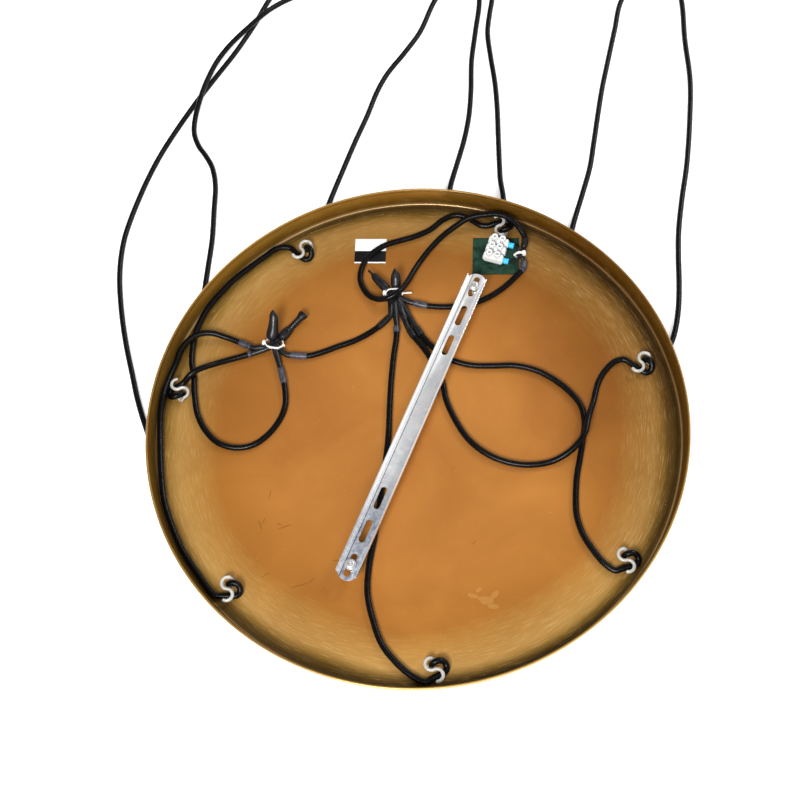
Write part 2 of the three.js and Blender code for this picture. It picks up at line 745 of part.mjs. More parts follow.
add("ferrule_upper", ferrule(1), blueNylon);
add("ferrule_lower", ferrule(-1), blueNylon);
const upperCore = ferruleCore(1, [[0, 6.6, 6.2], [-0.6, 3, 6.3]]);
const lowerCore = ferruleCore(-1, [[-5, -6.4, 6.2], [-0.8, -3, 6.3]]);
add("terminal_cores", knotCores(knots[3], upperCore, lowerCore), blackCable);

// Rating label, bare
const label = add("rating_label", block(...labelSize, labelThickness), labelPaper);
label.position.set(labelPlace.x, labelPlace.y, panFloor + film + labelThickness / 2);
label.rotation.z = -9.5 * degree;

// Cords outside the pan: heading on leaving the hole's bend, route on the table and its heights
const underBend = 12.6;
const cords = {
  a: {
    hole: 1, leave: 66, turns: 4, hand: 1, coil: [85, 577], start: -20, tail: 90,
    route: [[-63, 252], [-54, 274], [-37, 309], [-19, 345], [-2, 377], [12, 406], [26, 428], [49, 454],
      [69, 479], [92, 521]],
  },
  b: {
    hole: 2, leave: 84, turns: 3, hand: 1, coil: [-5, 605], start: -80, tail: 75,
    route: [[-207, 110], [-198, 153], [-190, 194], [-185, 219], [-179, 249], [-174.5, 285], [-171, 316],
      [-173, 339], [-178.5, 354], [-185.5, 369], [-189, 386, 3.6], [-186.5, 404, 5], [-177.5, 430, 9],
      [-168.5, 451, 10.1], [-156, 474, 10.3], [-139, 495, 10.3], [-118, 514.5, 10.3], [-99, 531, 9.8],
      [-84, 543, 6.8], [-67, 553, 3.8], [-40, 562]],
  },
  c: {
    hole: 3, leave: 116, turns: 2, hand: 1, coil: [-100.7, 608], start: -12, tail: 90,
    route: [[-212, -80], [-233, -30], [-249, 18], [-258, 51], [-264, 79], [-268, 107], [-272, 135],
      [-275, 164], [-276.5, 193], [-276.5, 217], [-274.5, 240], [-270, 264], [-262.5, 287], [-251.5, 314],
      [-241, 337], [-226, 365], [-204, 399], [-181, 431], [-159, 459], [-136, 488], [-114, 520],
      [-93, 555]],
  },
  d: {
    hole: 4, leave: 76, turns: 1, hand: 1, coil: [145, 713], start: -35, tail: 115,
    route: [[-4, -180], [16, -120], [34, -60], [45, 0], [48.5, 60], [49, 120], [53, 180], [63, 236],
      [72, 271], [83, 298], [95, 327], [105, 358], [112, 390], [118.5, 428], [129, 468], [140, 510],
      [143, 548], [142.5, 590], [143.5, 630], [152, 660]],
  },
  e: {
    hole: 5, leave: 84, turns: 2, hand: 1, coil: [296, 548], start: -30, tail: 105,
    route: [[169, -115], [168, -60], [162, 0], [159, 60], [163, 120], [174, 168], [188, 204], [206, 243],
      [218, 270], [228, 300], [238, 331], [250, 367], [264, 404], [279, 443], [295, 483]],
  },
  f: {
    hole: 6, leave: 22, turns: 3, hand: -1, coil: [403, 524], start: 170, tail: 90,
    route: [[246, 45.5], [256, 57], [263, 70], [271, 92], [278, 120], [284, 150], [291, 180], [303, 218],
      [316, 255], [332, 311], [344, 362], [350.5, 416], [359, 471]],
  },
  g: {
    hole: 0, leave: 68, turns: 4, hand: -1, coil: [203, 557], start: 170, tail: 90,
    route: [[121, 226], [124, 250], [124.5, 271], [127, 293], [131, 324], [136, 362], [139, 396],
      [140, 431], [142, 464], [149, 492], [154, 509]],
  },
};

// Centres of a coil about its own middle: in along the table, up one layer in half a turn, out again.
// The ends run straight, and the last one rises to the lampholder's axis.
function coilCentres(cord, radius) {
  const finish = cord.tail - 90 * cord.hand;
  const travel = 360 * cord.turns + cord.hand * (finish - cord.start);
  const perTurn = 16;
  const steps = Math.round((travel / 360) * perTurn);
  const climb = 180;
  const spiral = (travel - climb) / 2;
  const innerRadius = radius - (coilPitch * spiral) / 720;
  const angleAt = (gone) => (cord.start + cord.hand * gone) * degree;
  const [cx, cy] = cord.coil;
  const centres = [];
  for (let i = 0; i <= steps; i++) {
    const gone = (travel * i) / steps;
    const climbed = Math.min(Math.max((gone - spiral) / climb, 0), 1);
    const spun = gone < spiral ? spiral - gone : Math.max(gone - spiral - climb, 0);
    const r = innerRadius + (coilPitch * spun) / 360 - 1.2 * Math.sin(climbed * Math.PI);
    const z = cordFloor + (coilLayer * (1 - Math.cos(climbed * Math.PI))) / 2;
    centres.push(new THREE.Vector3(cx + r * Math.cos(angleAt(gone)), cy + r * Math.sin(angleAt(gone)), z));
  }
  const first = centres[0];
  const inward = centres[1].clone().sub(first).normalize();
  inward.applyAxisAngle(new THREE.Vector3(0, 0, 1), (-cord.hand * 9 * Math.PI) / 180);
  centres.unshift(first.clone().addScaledVector(inward, -cordDiameter));
  const last = centres[centres.length - 1].clone();
  const [ahead, aside] = [Math.cos(cord.tail * degree), Math.sin(cord.tail * degree)];
  for (const [share, rise] of [[0.2, 0.08], [0.4, 0.5], [0.6, 0.92], [0.8, 1], [1, 1]]) {
    const along = coilTail * share;
    const z = last.z + (holderAxis - last.z) * rise;
    centres.push(new THREE.Vector3(last.x + along * ahead, last.y + along * aside, z));
  }
  return centres;
}

function cordCentres(cord, coil) {
  const hole = cordHole(cord.hole);
  const heading = cord.leave * degree;
  const bendTop = cordFloor + underBend;
  const points = [
    new THREE.Vector3(hole.x, hole.y, panUnderside - touch),
    new THREE.Vector3(hole.x, hole.y, bendTop),
  ];
  for (const angle of [30, 60, 90]) {
    const reach = underBend * (1 - Math.cos(angle * degree));
    const z = bendTop - underBend * Math.sin(angle * degree);
    points.push(new THREE.Vector3(hole.x + reach * Math.cos(heading), hole.y + reach * Math.sin(heading), z));
  }
  for (const [x, y, z = cordFloor] of cord.route) points.push(new THREE.Vector3(x, y, z));
  const inward = coil[1].clone().sub(coil[0]).normalize();
  points.push(coil[0].clone().addScaledVector(inward, -touch - cordDiameter));
  points.push(coil[0].clone().addScaledVector(inward, -touch));
  return smooth(points, cordStep);
}

// The coil's radius follows from the length that the route leaves over.
function coilRadius(cord) {
  const lengthWith = (radius) => {
    const coil = coilCentres(cord, radius);
    return lengthOf(cordCentres(cord, coil)) + lengthOf(coil);
  };
  let radius = 33;
  for (let i = 0; i < 4; i++) {
    const slope = lengthWith(radius + 1) - lengthWith(radius);
    radius += (cordLength - lengthWith(radius)) / slope;
  }
  return radius;
}

// Least gap of a coil to itself, measured on points a third of a millimetre apart along it.
function leastGap(centres) {
  const fine = [];
  let gone = 0;
  for (let i = 1; i < centres.length; i++) {
    const span = centres[i].distanceTo(centres[i - 1]);
    for (let s = 0; s < span; s += 1.5) {
      fine.push({ at: gone + s, point: centres[i - 1].clone().lerp(centres[i], s / span) });
    }
    gone += span;
  }
  let least = Infinity;
  for (let i = 0; i < fine.length; i++) {
    for (let j = i + 1; j < fine.length; j++) {
      if (fine[j].at - fine[i].at > 6 * cordDiameter) {
        least = Math.min(least, fine[i].point.distanceTo(fine[j].point));
      }
    }
  }
  return least - cordDiameter;
}

// Lampholders: cord entry, shoulder, body and the lamp's bore, lying in line with the coil's tail
function lampholder(end, heading) {
  const outer = holderDiameter / 2;
  const bore = holderBore / 2;
  const profile = [
    [0, 0],
    [cordDiameter / 2 + 3, 0],
    [cordDiameter / 2 + 3, 7],
    [outer, 13],
    [outer, holderLength],
    [bore, holderLength],
    [bore, holderLength - holderBoreDepth],
    [0, holderLength - holderBoreDepth],
  ];
  const holder = turned(profile, 10).rotateZ(18 * degree).rotateX(-Math.PI / 2);
  return holder.translate(0, touch, 0).rotateZ((heading - 90) * degree).translate(end.x, end.y, end.z);
}

for (const [letter, cord] of Object.entries(cords)) {
  const radius = coilRadius(cord);
  const coil = coilCentres(cord, radius);
  const run = cordCentres(cord, coil);
  console.log(
    `cord ${letter}: run ${lengthOf(run).toFixed(0)}, coil ${lengthOf(coil).toFixed(0)}, ` +
      `mean coil radius ${radius.toFixed(1)}, least gap ${leastGap(coil).toFixed(2)}`,
  );
  add("cord_" + letter, tube(run, cordDiameter, 8), blackCable);
  add("coil_" + letter, tube(coil, cordDiameter, 6), blackCable);
  add("lampholder_" + letter, lampholder(coil[coil.length - 1], cord.tail), blackPlastic);
}

lamp.position.z = -webTop;

export default lamp;
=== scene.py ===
# %% [markdown]
# # A ceiling pan with seven lamp cords
#
# This is the ceiling end of a pendant lamp, taken down and laid open side up on a table. A wide
# shallow pan of lacquered bronze sheet carries a zinc-plated ceiling bar, a terminal block, two
# splices and seven cord grips. Seven cords leave it from below and end in lampholders.
#
# The measured solids of the lamp are already made and packed. This file loads them as a fixed frame
# and dresses them: each step says what a piece is on the real lamp, how it could be made, and why
# it is made the way it is.

import bpy
import numpy as np
from mathutils import Matrix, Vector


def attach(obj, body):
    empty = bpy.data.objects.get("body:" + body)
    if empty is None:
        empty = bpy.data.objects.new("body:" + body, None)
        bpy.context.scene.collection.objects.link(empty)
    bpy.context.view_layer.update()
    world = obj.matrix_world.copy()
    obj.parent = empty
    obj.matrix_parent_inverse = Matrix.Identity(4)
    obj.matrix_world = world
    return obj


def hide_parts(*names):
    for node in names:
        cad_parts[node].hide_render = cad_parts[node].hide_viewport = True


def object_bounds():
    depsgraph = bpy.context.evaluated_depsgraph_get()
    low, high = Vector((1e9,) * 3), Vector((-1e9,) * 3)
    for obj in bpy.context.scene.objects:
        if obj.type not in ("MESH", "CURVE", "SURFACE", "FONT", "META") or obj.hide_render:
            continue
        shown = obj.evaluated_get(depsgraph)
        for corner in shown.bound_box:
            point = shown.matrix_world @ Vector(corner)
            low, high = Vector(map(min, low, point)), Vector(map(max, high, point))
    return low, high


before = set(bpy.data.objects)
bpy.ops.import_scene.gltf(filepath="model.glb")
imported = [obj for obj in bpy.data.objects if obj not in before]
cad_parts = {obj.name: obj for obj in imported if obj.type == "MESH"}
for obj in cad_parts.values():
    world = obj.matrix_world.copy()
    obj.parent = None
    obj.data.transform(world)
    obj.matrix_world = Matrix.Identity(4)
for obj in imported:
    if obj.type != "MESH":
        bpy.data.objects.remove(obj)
cad_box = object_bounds()
print(len(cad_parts), "solids, from", tuple(cad_box[0]), "to", tuple(cad_box[1]))

# %% [markdown]
# ## Sizes that many steps share
#
# All numbers below are millimetres in the lamp's own frame, as a workshop drawing has them, and they
# are turned into metres in one place, where a mesh is made. Height 0 is the upper web face of the
# ceiling bar, which is the face that meets the ceiling.

# %% Levels and shared sizes
MM = 0.001
TABLE, UNDERSIDE, FLOOR, RIM = -40.2, -20.2, -19.2, 4.8  # heights: table, both faces of the pan, its rim
FLOOR_RADIUS, HOLE_CIRCLE, PAN_RADIUS = 229.0, 225, 250.0  # the flat floor, the seven holes, the rim
CORD = 2.85  # radius of cords and leads
LYING = 3.3  # middle of a cord or lead over what it lies on
BAR_ANGLE, SCREW_REACH = 60, 150.0  # the bar's heading, and each hanging screw's distance from the middle
print("pan floor", FLOOR, "mm, rim", RIM, "mm, table", TABLE, "mm")

# %% [markdown]
# ## The camera
#
# The photograph looks down into the pan from the side of the table, at 65 degrees, with a little
# roll. The place and lens were worked out beforehand from the ellipse of the rim and the seven evenly
# spaced holes. Blender's camera looks along its own -Z, so the three axes go in as matrix columns.

# %% Camera
def unit(v):
    """Each row divided by its own length."""
    v = np.asarray(v, float)
    return v / np.maximum(np.linalg.norm(v, axis=-1, keepdims=True), 1e-12)


def set_up(name, data, place, axes):
    """Puts a camera or lamp at `place` (metres) whose own X, Y and Z are the three rows of `axes`."""
    thing = bpy.data.objects.new(name, data)
    columns = np.eye(4)
    columns[:3, :3] = np.transpose(axes)
    columns[:3, 3] = place
    thing.matrix_world = Matrix(columns.tolist())
    bpy.context.scene.collection.objects.link(thing)
    return thing


def add_camera(place, right, up, back, lens):
    """A camera at `place` (mm) that looks against `back`."""
    data = bpy.data.cameras.new("camera")
    data.lens, data.sensor_width = lens, 36
    data.clip_start, data.clip_end = 0.01, 20
    bpy.context.scene.camera = set_up("camera", data, np.array(place) * MM, unit([right, up, back]))


add_camera(
    place=(-11.10, -479.80, 1078.85),
    right=(0.98974, -0.12957, -0.06017),
    up=(0.14286, 0.89767, 0.41686),
    back=(0.0, -0.42118, 0.90698),
    lens=57.63,
)
print("camera", round(bpy.context.scene.camera.location.length, 2), "m from the bar")

# %% [markdown]
# ## Meshes from whole arrays
#
# Nearly every piece of this lamp is a bar, a wire or a turned part. All of these are one idea: a row of
# rings, each ring a closed loop of points, with a skin of four-sided faces between neighbouring rings.
# Rings could be joined by hand in a loop over points, but numpy makes all corners at once.

# %% Rings and skins
def distances(line):
    """How far each point of a line lies along it: the summed steps between neighbouring points."""
    return np.concatenate([[0], np.cumsum(np.linalg.norm(np.diff(line, axis=0), axis=1))])


def skin(rings, closed=False, flat_ends=False):
    """A skin over rings[i, j]: face (i, j) joins points j and j+1 of ring i to those of ring i+1.

    The first and last ring are closed by a fan round their middle, by one flat face if `flat_ends`, or
    joined to each other if `closed`. An end ring that is drawn together in one point is that point.
    Returns points, faces and, for each face corner, u = way along the rings in metres and v = share
    of the way round.
    """
    poles = rings[[0, -1]].mean(axis=1)
    if not closed:
        drawn = [np.ptp(rings[end], axis=0).max() < 1e-6 for end in (0, -1)]
        rings = rings[int(drawn[0]):len(rings) - int(drawn[1])]
    n, m = rings.shape[:2]
    spans = n if closed else n - 1
    i, j = (a.ravel() for a in np.meshgrid(np.arange(spans), np.arange(m), indexing="ij"))
    k, l = (i + 1) % n, (j + 1) % m
    quads = np.stack([i * m + j, i * m + l, k * m + l, k * m + j], axis=1)
    gone = distances(rings.mean(axis=1)) * MM
    if gone[-1] < 1e-6:
        gone = np.arange(n) * MM
    gone = np.append(gone, gone[-1] + MM)
    u, v = gone[i], j / m
    far_u, far_v = gone[i + 1], (j + 1) / m
    uv = np.stack([u, v, u, far_v, far_u, far_v, far_u, v], axis=1).reshape(-1, 2)
    points, quads = rings.reshape(-1, 3), quads.tolist()
    if closed:
        return points, quads, uv
    j = np.arange(m)
    l, last = (j + 1) % m, (n - 1) * m
    if flat_ends:
        return points, quads + [j[::-1].tolist(), (last + j).tolist()], np.vstack([uv, np.zeros((2 * m, 2))])
    foot = np.stack([np.full(m, n * m), l, j], axis=1).tolist()
    head = np.stack([np.full(m, n * m + 1), last + j, last + l], axis=1).tolist()
    return np.vstack([points, poles]), quads + foot + head, np.vstack([uv, np.zeros((6 * m, 2))])


def together(*skins):
    """Several skins as one, each with its face numbers moved up by the points before it."""
    points, faces, uvs, start = [], [], [], 0
    for p, f, uv in skins:
        points.append(p)
        faces += [[start + corner for corner in face] for face in f]
        uvs.append(uv)
        start += len(p)
    return np.vstack(points), faces, np.vstack(uvs)


# %% Pieces
def mesh_of(name, made):
    """Blender mesh of a skin, in metres."""
    points, faces, uv = made
    mesh = bpy.data.meshes.new(name)
    mesh.from_pydata((np.asarray(points) * MM).tolist(), [], faces)
    mesh.uv_layers.new(name="skin").data.foreach_set("uv", uv.astype(np.float32).ravel())
    mesh.update()
    return mesh


def piece(name, made, finish, replaces=(), body="canopy", sharp=35):
    """Puts a skin or mesh into the scene, smooth where faces meet by less than `sharp` degrees."""
    mesh = made if isinstance(made, bpy.types.Mesh) else mesh_of(name, made)
    mesh.shade_smooth()
    mesh.set_sharp_from_angle(angle=np.radians(sharp))
    mesh.materials.clear()
    mesh.materials.append(finish)
    thing = bpy.data.objects.new(name, mesh)
    bpy.context.scene.collection.objects.link(thing)
    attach(thing, body)
    if replaces:
        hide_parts(*replaces)
    return thing


# %% Lines that pass through chosen points
def curve_through(points, per_span=12):
    """A curve through all points. Between two of them it is the cubic a + b t + c t^2 + d t^3 whose
    slopes come from the neighbours, weighted by the square roots of the spans (centripetal)."""
    p = np.asarray(points, float)
    p = np.vstack([2 * p[0] - p[1], p, 2 * p[-1] - p[-2]])
    p0, p1, p2, p3 = p[:-3], p[1:-2], p[2:-1], p[3:]
    d0, d1, d2 = (np.sqrt(np.linalg.norm(b - a, axis=1))[:, None] for a, b in ((p0, p1), (p1, p2), (p2, p3)))
    s1 = d1 * ((p1 - p0) / d0 - (p2 - p0) / (d0 + d1) + (p2 - p1) / d1)
    s2 = d1 * ((p2 - p1) / d1 - (p3 - p1) / (d1 + d2) + (p3 - p2) / d2)
    t = (np.arange(per_span) / per_span)[None, :, None]
    a, b, s, e = (q[:, None, :] for q in (p1, p2, s1, s2))
    line = a + s * t + (3 * (b - a) - 2 * s - e) * t**2 + (2 * (a - b) + s + e) * t**3
    return np.vstack([line.reshape(-1, 3), p[-2]])


def read_off(line, at):
    """The points of a line at the distances `at`: each coordinate is read off over the distance."""
    gone = distances(line)
    return np.stack([np.interp(at, gone, line[:, k]) for k in range(3)], axis=1)


def evenly(line, step):
    """The same line with points `step` apart."""
    whole = distances(line)[-1]
    return read_off(line, np.linspace(0, whole, int(np.ceil(whole / step)) + 1))


# %% Sections carried along a line
def angles(sides):
    """Even steps of the angle round a whole circle."""
    return np.arange(sides) / sides * 2 * np.pi


def direction(heading):
    """The flat direction (cos a, sin a) of a heading in degrees."""
    return np.array([np.cos(np.radians(heading)), np.sin(np.radians(heading))])


def circle(radius, sides=16):
    """Points radius * (cos a, sin a) for even steps of the angle a."""
    a = angles(sides)
    return radius * np.stack([np.cos(a), np.sin(a)], axis=1)


def swept(line, section, size=1.0, across=None, closed=False):
    """Rings of a section carried along a line.

    Point k of ring i is line[i] + size[i] * (section[k, 0] * across[i] + section[k, 1] * sideways[i]).
    `across` turns only as far as the line turns, so that the skin doesn't twist.
    """
    line = np.asarray(line, float)
    if closed:
        heading = unit(np.roll(line, -1, axis=0) - np.roll(line, 1, axis=0))
    else:
        heading = unit(np.gradient(line, axis=0))
    if across is None:
        across = (1, 0, 0) if abs(heading[0][2]) > 0.9 else (0, 0, 1)
    a = np.array(across, float)
    carried = np.empty_like(line)
    for i, h in enumerate(heading):
        a = unit(a - h * (a @ h))
        carried[i] = a
    sideways = np.cross(heading, carried)
    size = np.broadcast_to(np.asarray(size, float), len(line))[:, None, None]
    section = np.asarray(section, float)
    return line[:, None] + size * (section[:, :1] * carried[:, None] + section[:, 1:] * sideways[:, None])


# %% Profiles turned about an axis
def turned(profile, sides=48, ripple=None):
    """Rings of a profile of (radius, height) pairs turned about Z: (r cos a, r sin a, z), where
    `ripple(a, z, r)`, if given, makes a new radius from the angle, the height and the radius."""
    r, z = np.asarray(profile, float).T[:, :, None]
    a = np.broadcast_to(angles(sides), (len(r), sides))
    z = np.broadcast_to(z, a.shape)
    r = np.broadcast_to(r, a.shape) if ripple is None else ripple(a, z, r)
    return np.stack([r * np.cos(a), r * np.sin(a), z], axis=-1)


def arc(x, y, radius, start, end, steps):
    """Points on a circle from one angle to the other, both ends included."""
    a = np.radians(np.linspace(start, end, steps + 1))
    return np.stack([x + radius * np.cos(a), y + radius * np.sin(a)], axis=1)


# %% Putting points in their place
def placed(points, shift=(0, 0, 0), heading=0.0):
    """Points turned about Z by `heading` degrees and then shifted."""
    c, s = direction(heading)
    return points @ np.array([[c, s, 0], [-s, c, 0], [0, 0, 1]]) + np.asarray(shift, float)


def moved(made, shift=(0, 0, 0), heading=0.0):
    """A skin turned about Z and shifted, from a piece's own frame into the lamp's."""
    return placed(made[0], shift, heading), *made[1:]


def aimed(points, start, end):
    """Points whose own Z axis is laid along the way from `start` to `end`, with their origin at `start`."""
    z = unit(np.subtract(end, start))
    x = unit(np.cross((0, 0, 1), z)) if abs(z[2]) < 0.99 else np.array([1.0, 0, 0])
    return points @ np.stack([x, np.cross(z, x), z]) + np.asarray(start, float)


def rounded_block(length, width, height, radius, steps=4):
    """Rings of a block with round edges: a globe whose eight parts are moved apart to the corners."""
    quarter = np.linspace(0, 90, steps + 1)
    a = np.radians(np.concatenate([quarter, quarter + 90, quarter + 180, quarter + 270]))
    b = np.radians(np.concatenate([quarter - 90, quarter]))
    side = np.repeat([[1, 1], [-1, 1], [-1, -1], [1, -1]], steps + 1, axis=0)
    level = np.repeat([-1, 1], steps + 1)[:, None]
    x = side[:, 0] * (length / 2 - radius) + radius * np.cos(b)[:, None] * np.cos(a)
    y = side[:, 1] * (width / 2 - radius) + radius * np.cos(b)[:, None] * np.sin(a)
    z = level * (height / 2 - radius) + radius * np.sin(b)[:, None] + 0 * a
    return np.stack([x, y, z], axis=-1)


# %% Cutting one skin with another
def carved(name, made, cutters, bevel=0.0):
    """Mesh of a skin with the volume of the cutters taken out, and its edges broken by `bevel` mm."""
    whole, tool = (bpy.data.objects.new(name, mesh_of(name, m)) for m in (made, cutters))
    for thing in (whole, tool):
        bpy.context.scene.collection.objects.link(thing)
    cut = whole.modifiers.new("cut", "BOOLEAN")
    cut.object, cut.operation, cut.solver = tool, "DIFFERENCE", "EXACT"
    if bevel:
        edge = whole.modifiers.new("edge", "BEVEL")
        edge.width, edge.segments = bevel * MM, 2
        edge.limit_method, edge.angle_limit = "ANGLE", np.radians(40)
    mesh = bpy.data.meshes.new_from_object(whole.evaluated_get(bpy.context.evaluated_depsgraph_get()))
    for thing in (whole, tool):
        bpy.data.objects.remove(thing)
    mesh.name = name
    return mesh


# %% [markdown]
# ## Finishes from nodes
#
# A finish is a Principled shader with a few nodes that vary its colour, roughness and height. The nodes
# read Object coordinates, which are the same metres as the meshes, so a scale of 300 gives grains of
# about 3 mm. A small class keeps the wiring short: `add` makes a node and plugs in what it is given.
# Most plastics and metals here are two close tones in soft clouds under a fine grain, so one function,
# `grained`, makes them from a few numbers.

# %% Colours
def screen(r, g, b):
    """A colour as picked on the screen, 0 to 255, turned into the linear value a shader wants."""
    c = np.array([r, g, b]) / 255
    return (*np.where(c <= 0.04045, c / 12.92, ((c + 0.055) / 1.055) ** 2.4), 1.0)


# %% A material built up node by node
class Finish:
    """A material, its Principled shader and short ways to add nodes to it."""

    def __init__(self, name, colour, roughness, **plain):
        """Starts with constant values on the shader's own sockets."""
        self.material = bpy.data.materials.new(name)
        self.material.use_nodes = True
        self.nodes, self.links = self.material.node_tree.nodes, self.material.node_tree.links
        self.shader = self.nodes["Principled BSDF"]
        self.wear(Base_Color=colour, Roughness=roughness, **plain)
        self.place = self.add("TexCoord", "Object")

    def set(self, node, values):
        """Gives inputs of a node a value, or a wire from another node's output."""
        for key, value in values.items():
            if isinstance(value, bpy.types.NodeSocket):
                self.links.new(value, node.inputs[key])
            else:
                node.inputs[key].default_value = value

    def add(self, kind, output=0, values=None, **settings):
        """A node of one kind with its settings and inputs; gives back one of its outputs."""
        node = self.nodes.new("ShaderNode" + kind)
        for key, value in settings.items():
            setattr(node, key, value)
        self.set(node, values or {})
        return node.outputs[output]

    def maths(self, operation, a, b=0.0):
        """One sum with two numbers."""
        return self.add("Math", 0, {0: a, 1: b}, operation=operation)

    def times(self, a, b):
        """a multiplied by b."""
        return self.maths("MULTIPLY", a, b)

    def part(self, vector, axis):
        """One of the three numbers of a vector: 0 for X, 1 for Y, 2 for Z."""
        return self.add("SeparateXYZ", axis, {0: vector})

    def lying_along(self, vector, way):
        """How far a vector goes along a direction: the sum of the products of their parts."""
        return self.add("VectorMath", "Value", {0: vector, 1: way}, operation="DOT_PRODUCT")

    def stretched(self, x, y, z, turn=0.0):
        """The place, turned about Z by `turn` degrees and scaled by x, y and z."""
        values = {"Vector": self.place, "Scale": (x, y, z), "Rotation": (0, 0, np.radians(turn))}
        return self.add("Mapping", 0, values)

    def noise(self, scale, detail=4.0, source=None, distortion=0.0):
        """Soft noise from 0 to 1 in grains of about 1 / scale metres."""
        values = {"Vector": source or self.place, "Scale": scale, "Detail": detail, "Distortion": distortion}
        return self.add("TexNoise", 0, values)

    def cells(self, output, scale, source=None):
        """Cells round scattered points: a colour for each, or the distance from its point."""
        return self.add("TexVoronoi", output, {"Vector": source or self.place, "Scale": scale})

    def ramp(self, value, stops, ease="LINEAR"):
        """A colour or grey read off along a row of (position, colour) stops."""
        node = self.nodes.new("ShaderNodeValToRGB")
        node.color_ramp.interpolation = ease
        while len(node.color_ramp.elements) < len(stops):
            node.color_ramp.elements.new(0.5)
        for element, (position, colour) in zip(node.color_ramp.elements, stops):
            element.position = position
            element.color = colour if hasattr(colour, "__len__") else (colour, colour, colour, 1)
        self.links.new(value, node.inputs[0])
        return node.outputs[0]

    def mixed(self, share, a, b, way="MIX"):
        """Colour a with a share of colour b."""
        return self.add("Mix", 2, {0: share, 6: a, 7: b}, data_type="RGBA", blend_type=way)

    def shades(self, value, stops):
        """A colour read off along a row of (position, red, green, blue) stops, colours 0 to 255."""
        return self.ramp(value, [(position, screen(*colour)) for position, *colour in stops])

    def painted(self, tone, colour, where, cover, way="MIX"):
        """A tone with a colour over it where `where` is 1, which covers it up to the share `cover`."""
        return self.mixed(self.times(where, cover), tone, colour, way)

    def clouded(self, tone, colour, scale, detail, start, end, cover=1.0, way="MIX", distortion=0.0):
        """A tone with clouds of another colour: none where the noise is `start`, all of `cover` at `end`."""
        cloud = self.ramp(self.noise(scale, detail, None, distortion), [(start, 0.0), (end, 1.0)])
        return self.painted(tone, colour, cloud, cover, way)

    def bumped(self, height, distance, strength=1.0, over=None):
        """Height in units of `distance` mm as a change of the surface's slope."""
        values = {"Height": height, "Distance": distance * MM, "Strength": strength}
        if over is not None:
            values["Normal"] = over
        return self.add("Bump", 0, values)

    def wear(self, **sockets):
        """Plugs values and outputs into the shader's own sockets."""
        self.set(self.shader, {key.replace("_", " "): value for key, value in sockets.items()})
        return self.material


# %% A plain finish in one go
def grained(name, colour, roughness, tones, clouds, grain, raised, rough=None, **plain):
    """A finish in two tones under a fine grain.

    `clouds` is the scale and detail of the clouds of the second tone, where in their noise they start and
    end, and how much they cover; if only start and end are given, the grain itself is the clouds. `grain`
    is its scale and detail, and how its place is stretched. It stands up by `raised`, in mm and strength,
    and carries the roughness, read off along the stops `rough`.
    """
    finish = Finish(name, colour, roughness, **plain)
    scale, detail, *stretch = grain
    grain = finish.noise(scale, detail, finish.stretched(*stretch) if stretch else None)
    if len(clouds) == 2:
        tone = finish.mixed(finish.ramp(grain, [(clouds[0], 0.0), (clouds[1], 1.0)]), *tones)
    else:
        tone = finish.clouded(*tones, *clouds)
    if rough:
        finish.wear(Roughness=finish.ramp(grain, rough))
    return finish.wear(Base_Color=tone, Normal=finish.bumped(grain, *raised))


# %% [markdown]
# ## The cords' finish
#
# The cords are round cable, sold as 6 mm, in a black textile jacket with a very fine plait and hardly any
# sheen. A picture of cloth could be wrapped round them, but the plait is regular, so two crossing waves
# over the skin's own u (along) and v (round) do it at any distance without a picture.

# %% Black cord
def plaited(finish, pitch, strands):
    """Plait height: 1 + 0.5 sin(A) sin(B), with A and B = 2 pi (u / pitch +- strands v)."""
    skin_map = finish.add("UVMap", "UV", uv_map="skin")
    u = finish.times(finish.part(skin_map, 0), 2 * np.pi / (pitch * MM))
    v = finish.times(finish.part(skin_map, 1), 2 * np.pi * strands)
    one = finish.maths("SINE", finish.maths("ADD", u, v))
    two = finish.maths("SINE", finish.maths("SUBTRACT", u, v))
    return finish.maths("ADD", finish.times(finish.times(one, two), 0.5), 1.0)


def black_cord():
    """Near black, with painted shade that makes it blackest in the grooves of the plait, and a fuzz that
    carries the roughness.
    """
    cord = Finish("black_cord", screen(4, 4, 5), 0.3, Specular_IOR_Level=0.13, Sheen_Weight=0.005,
                  Sheen_Roughness=0.35, Sheen_Tint=screen(150, 150, 175))
    plait = plaited(cord, 1.3, 10)
    fuzz = cord.noise(900, 3)
    tone = cord.clouded(screen(2, 2, 3), screen(7, 7, 9), 160, 3, 0.35, 0.7)
    # Painted shade: darker where the plait is lowest, in its grooves.
    tone = cord.mixed(cord.ramp(plait, [(0.2, 1.0), (0.75, 0.0)]), tone, screen(1, 1, 2))
    raised = cord.bumped(fuzz, 0.06, 0.25, over=cord.bumped(plait, 0.1, 0.4))
    return cord.wear(Base_Color=tone, Roughness=cord.ramp(fuzz, [(0.3, 0.22), (0.75, 0.38)]), Normal=raised)


CORD_FINISH = black_cord()
print("finish", CORD_FINISH.name)

# %% [markdown]
# ## The seven free cords
#
# Each cord hangs out of its hole, bends under the pan, runs over the table and out of the picture, where
# its length is put away in a neat coil. It ends in a lampholder. A cord is a fixed length of something
# limp, so its way is settled first: chosen points on the table, joined by one smooth curve, and a coil
# that goes in along the table, climbs one layer and comes out again on top. The points are those of the
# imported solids, because a cord has to lie where they lie.

# %% Where the cords leave the pan
def hole(index):
    """Middle of hole `index` of seven, evenly spaced on their circle and counted from the bar's far end."""
    return HOLE_CIRCLE * direction(BAR_ANGLE + 360 / 7 * index)


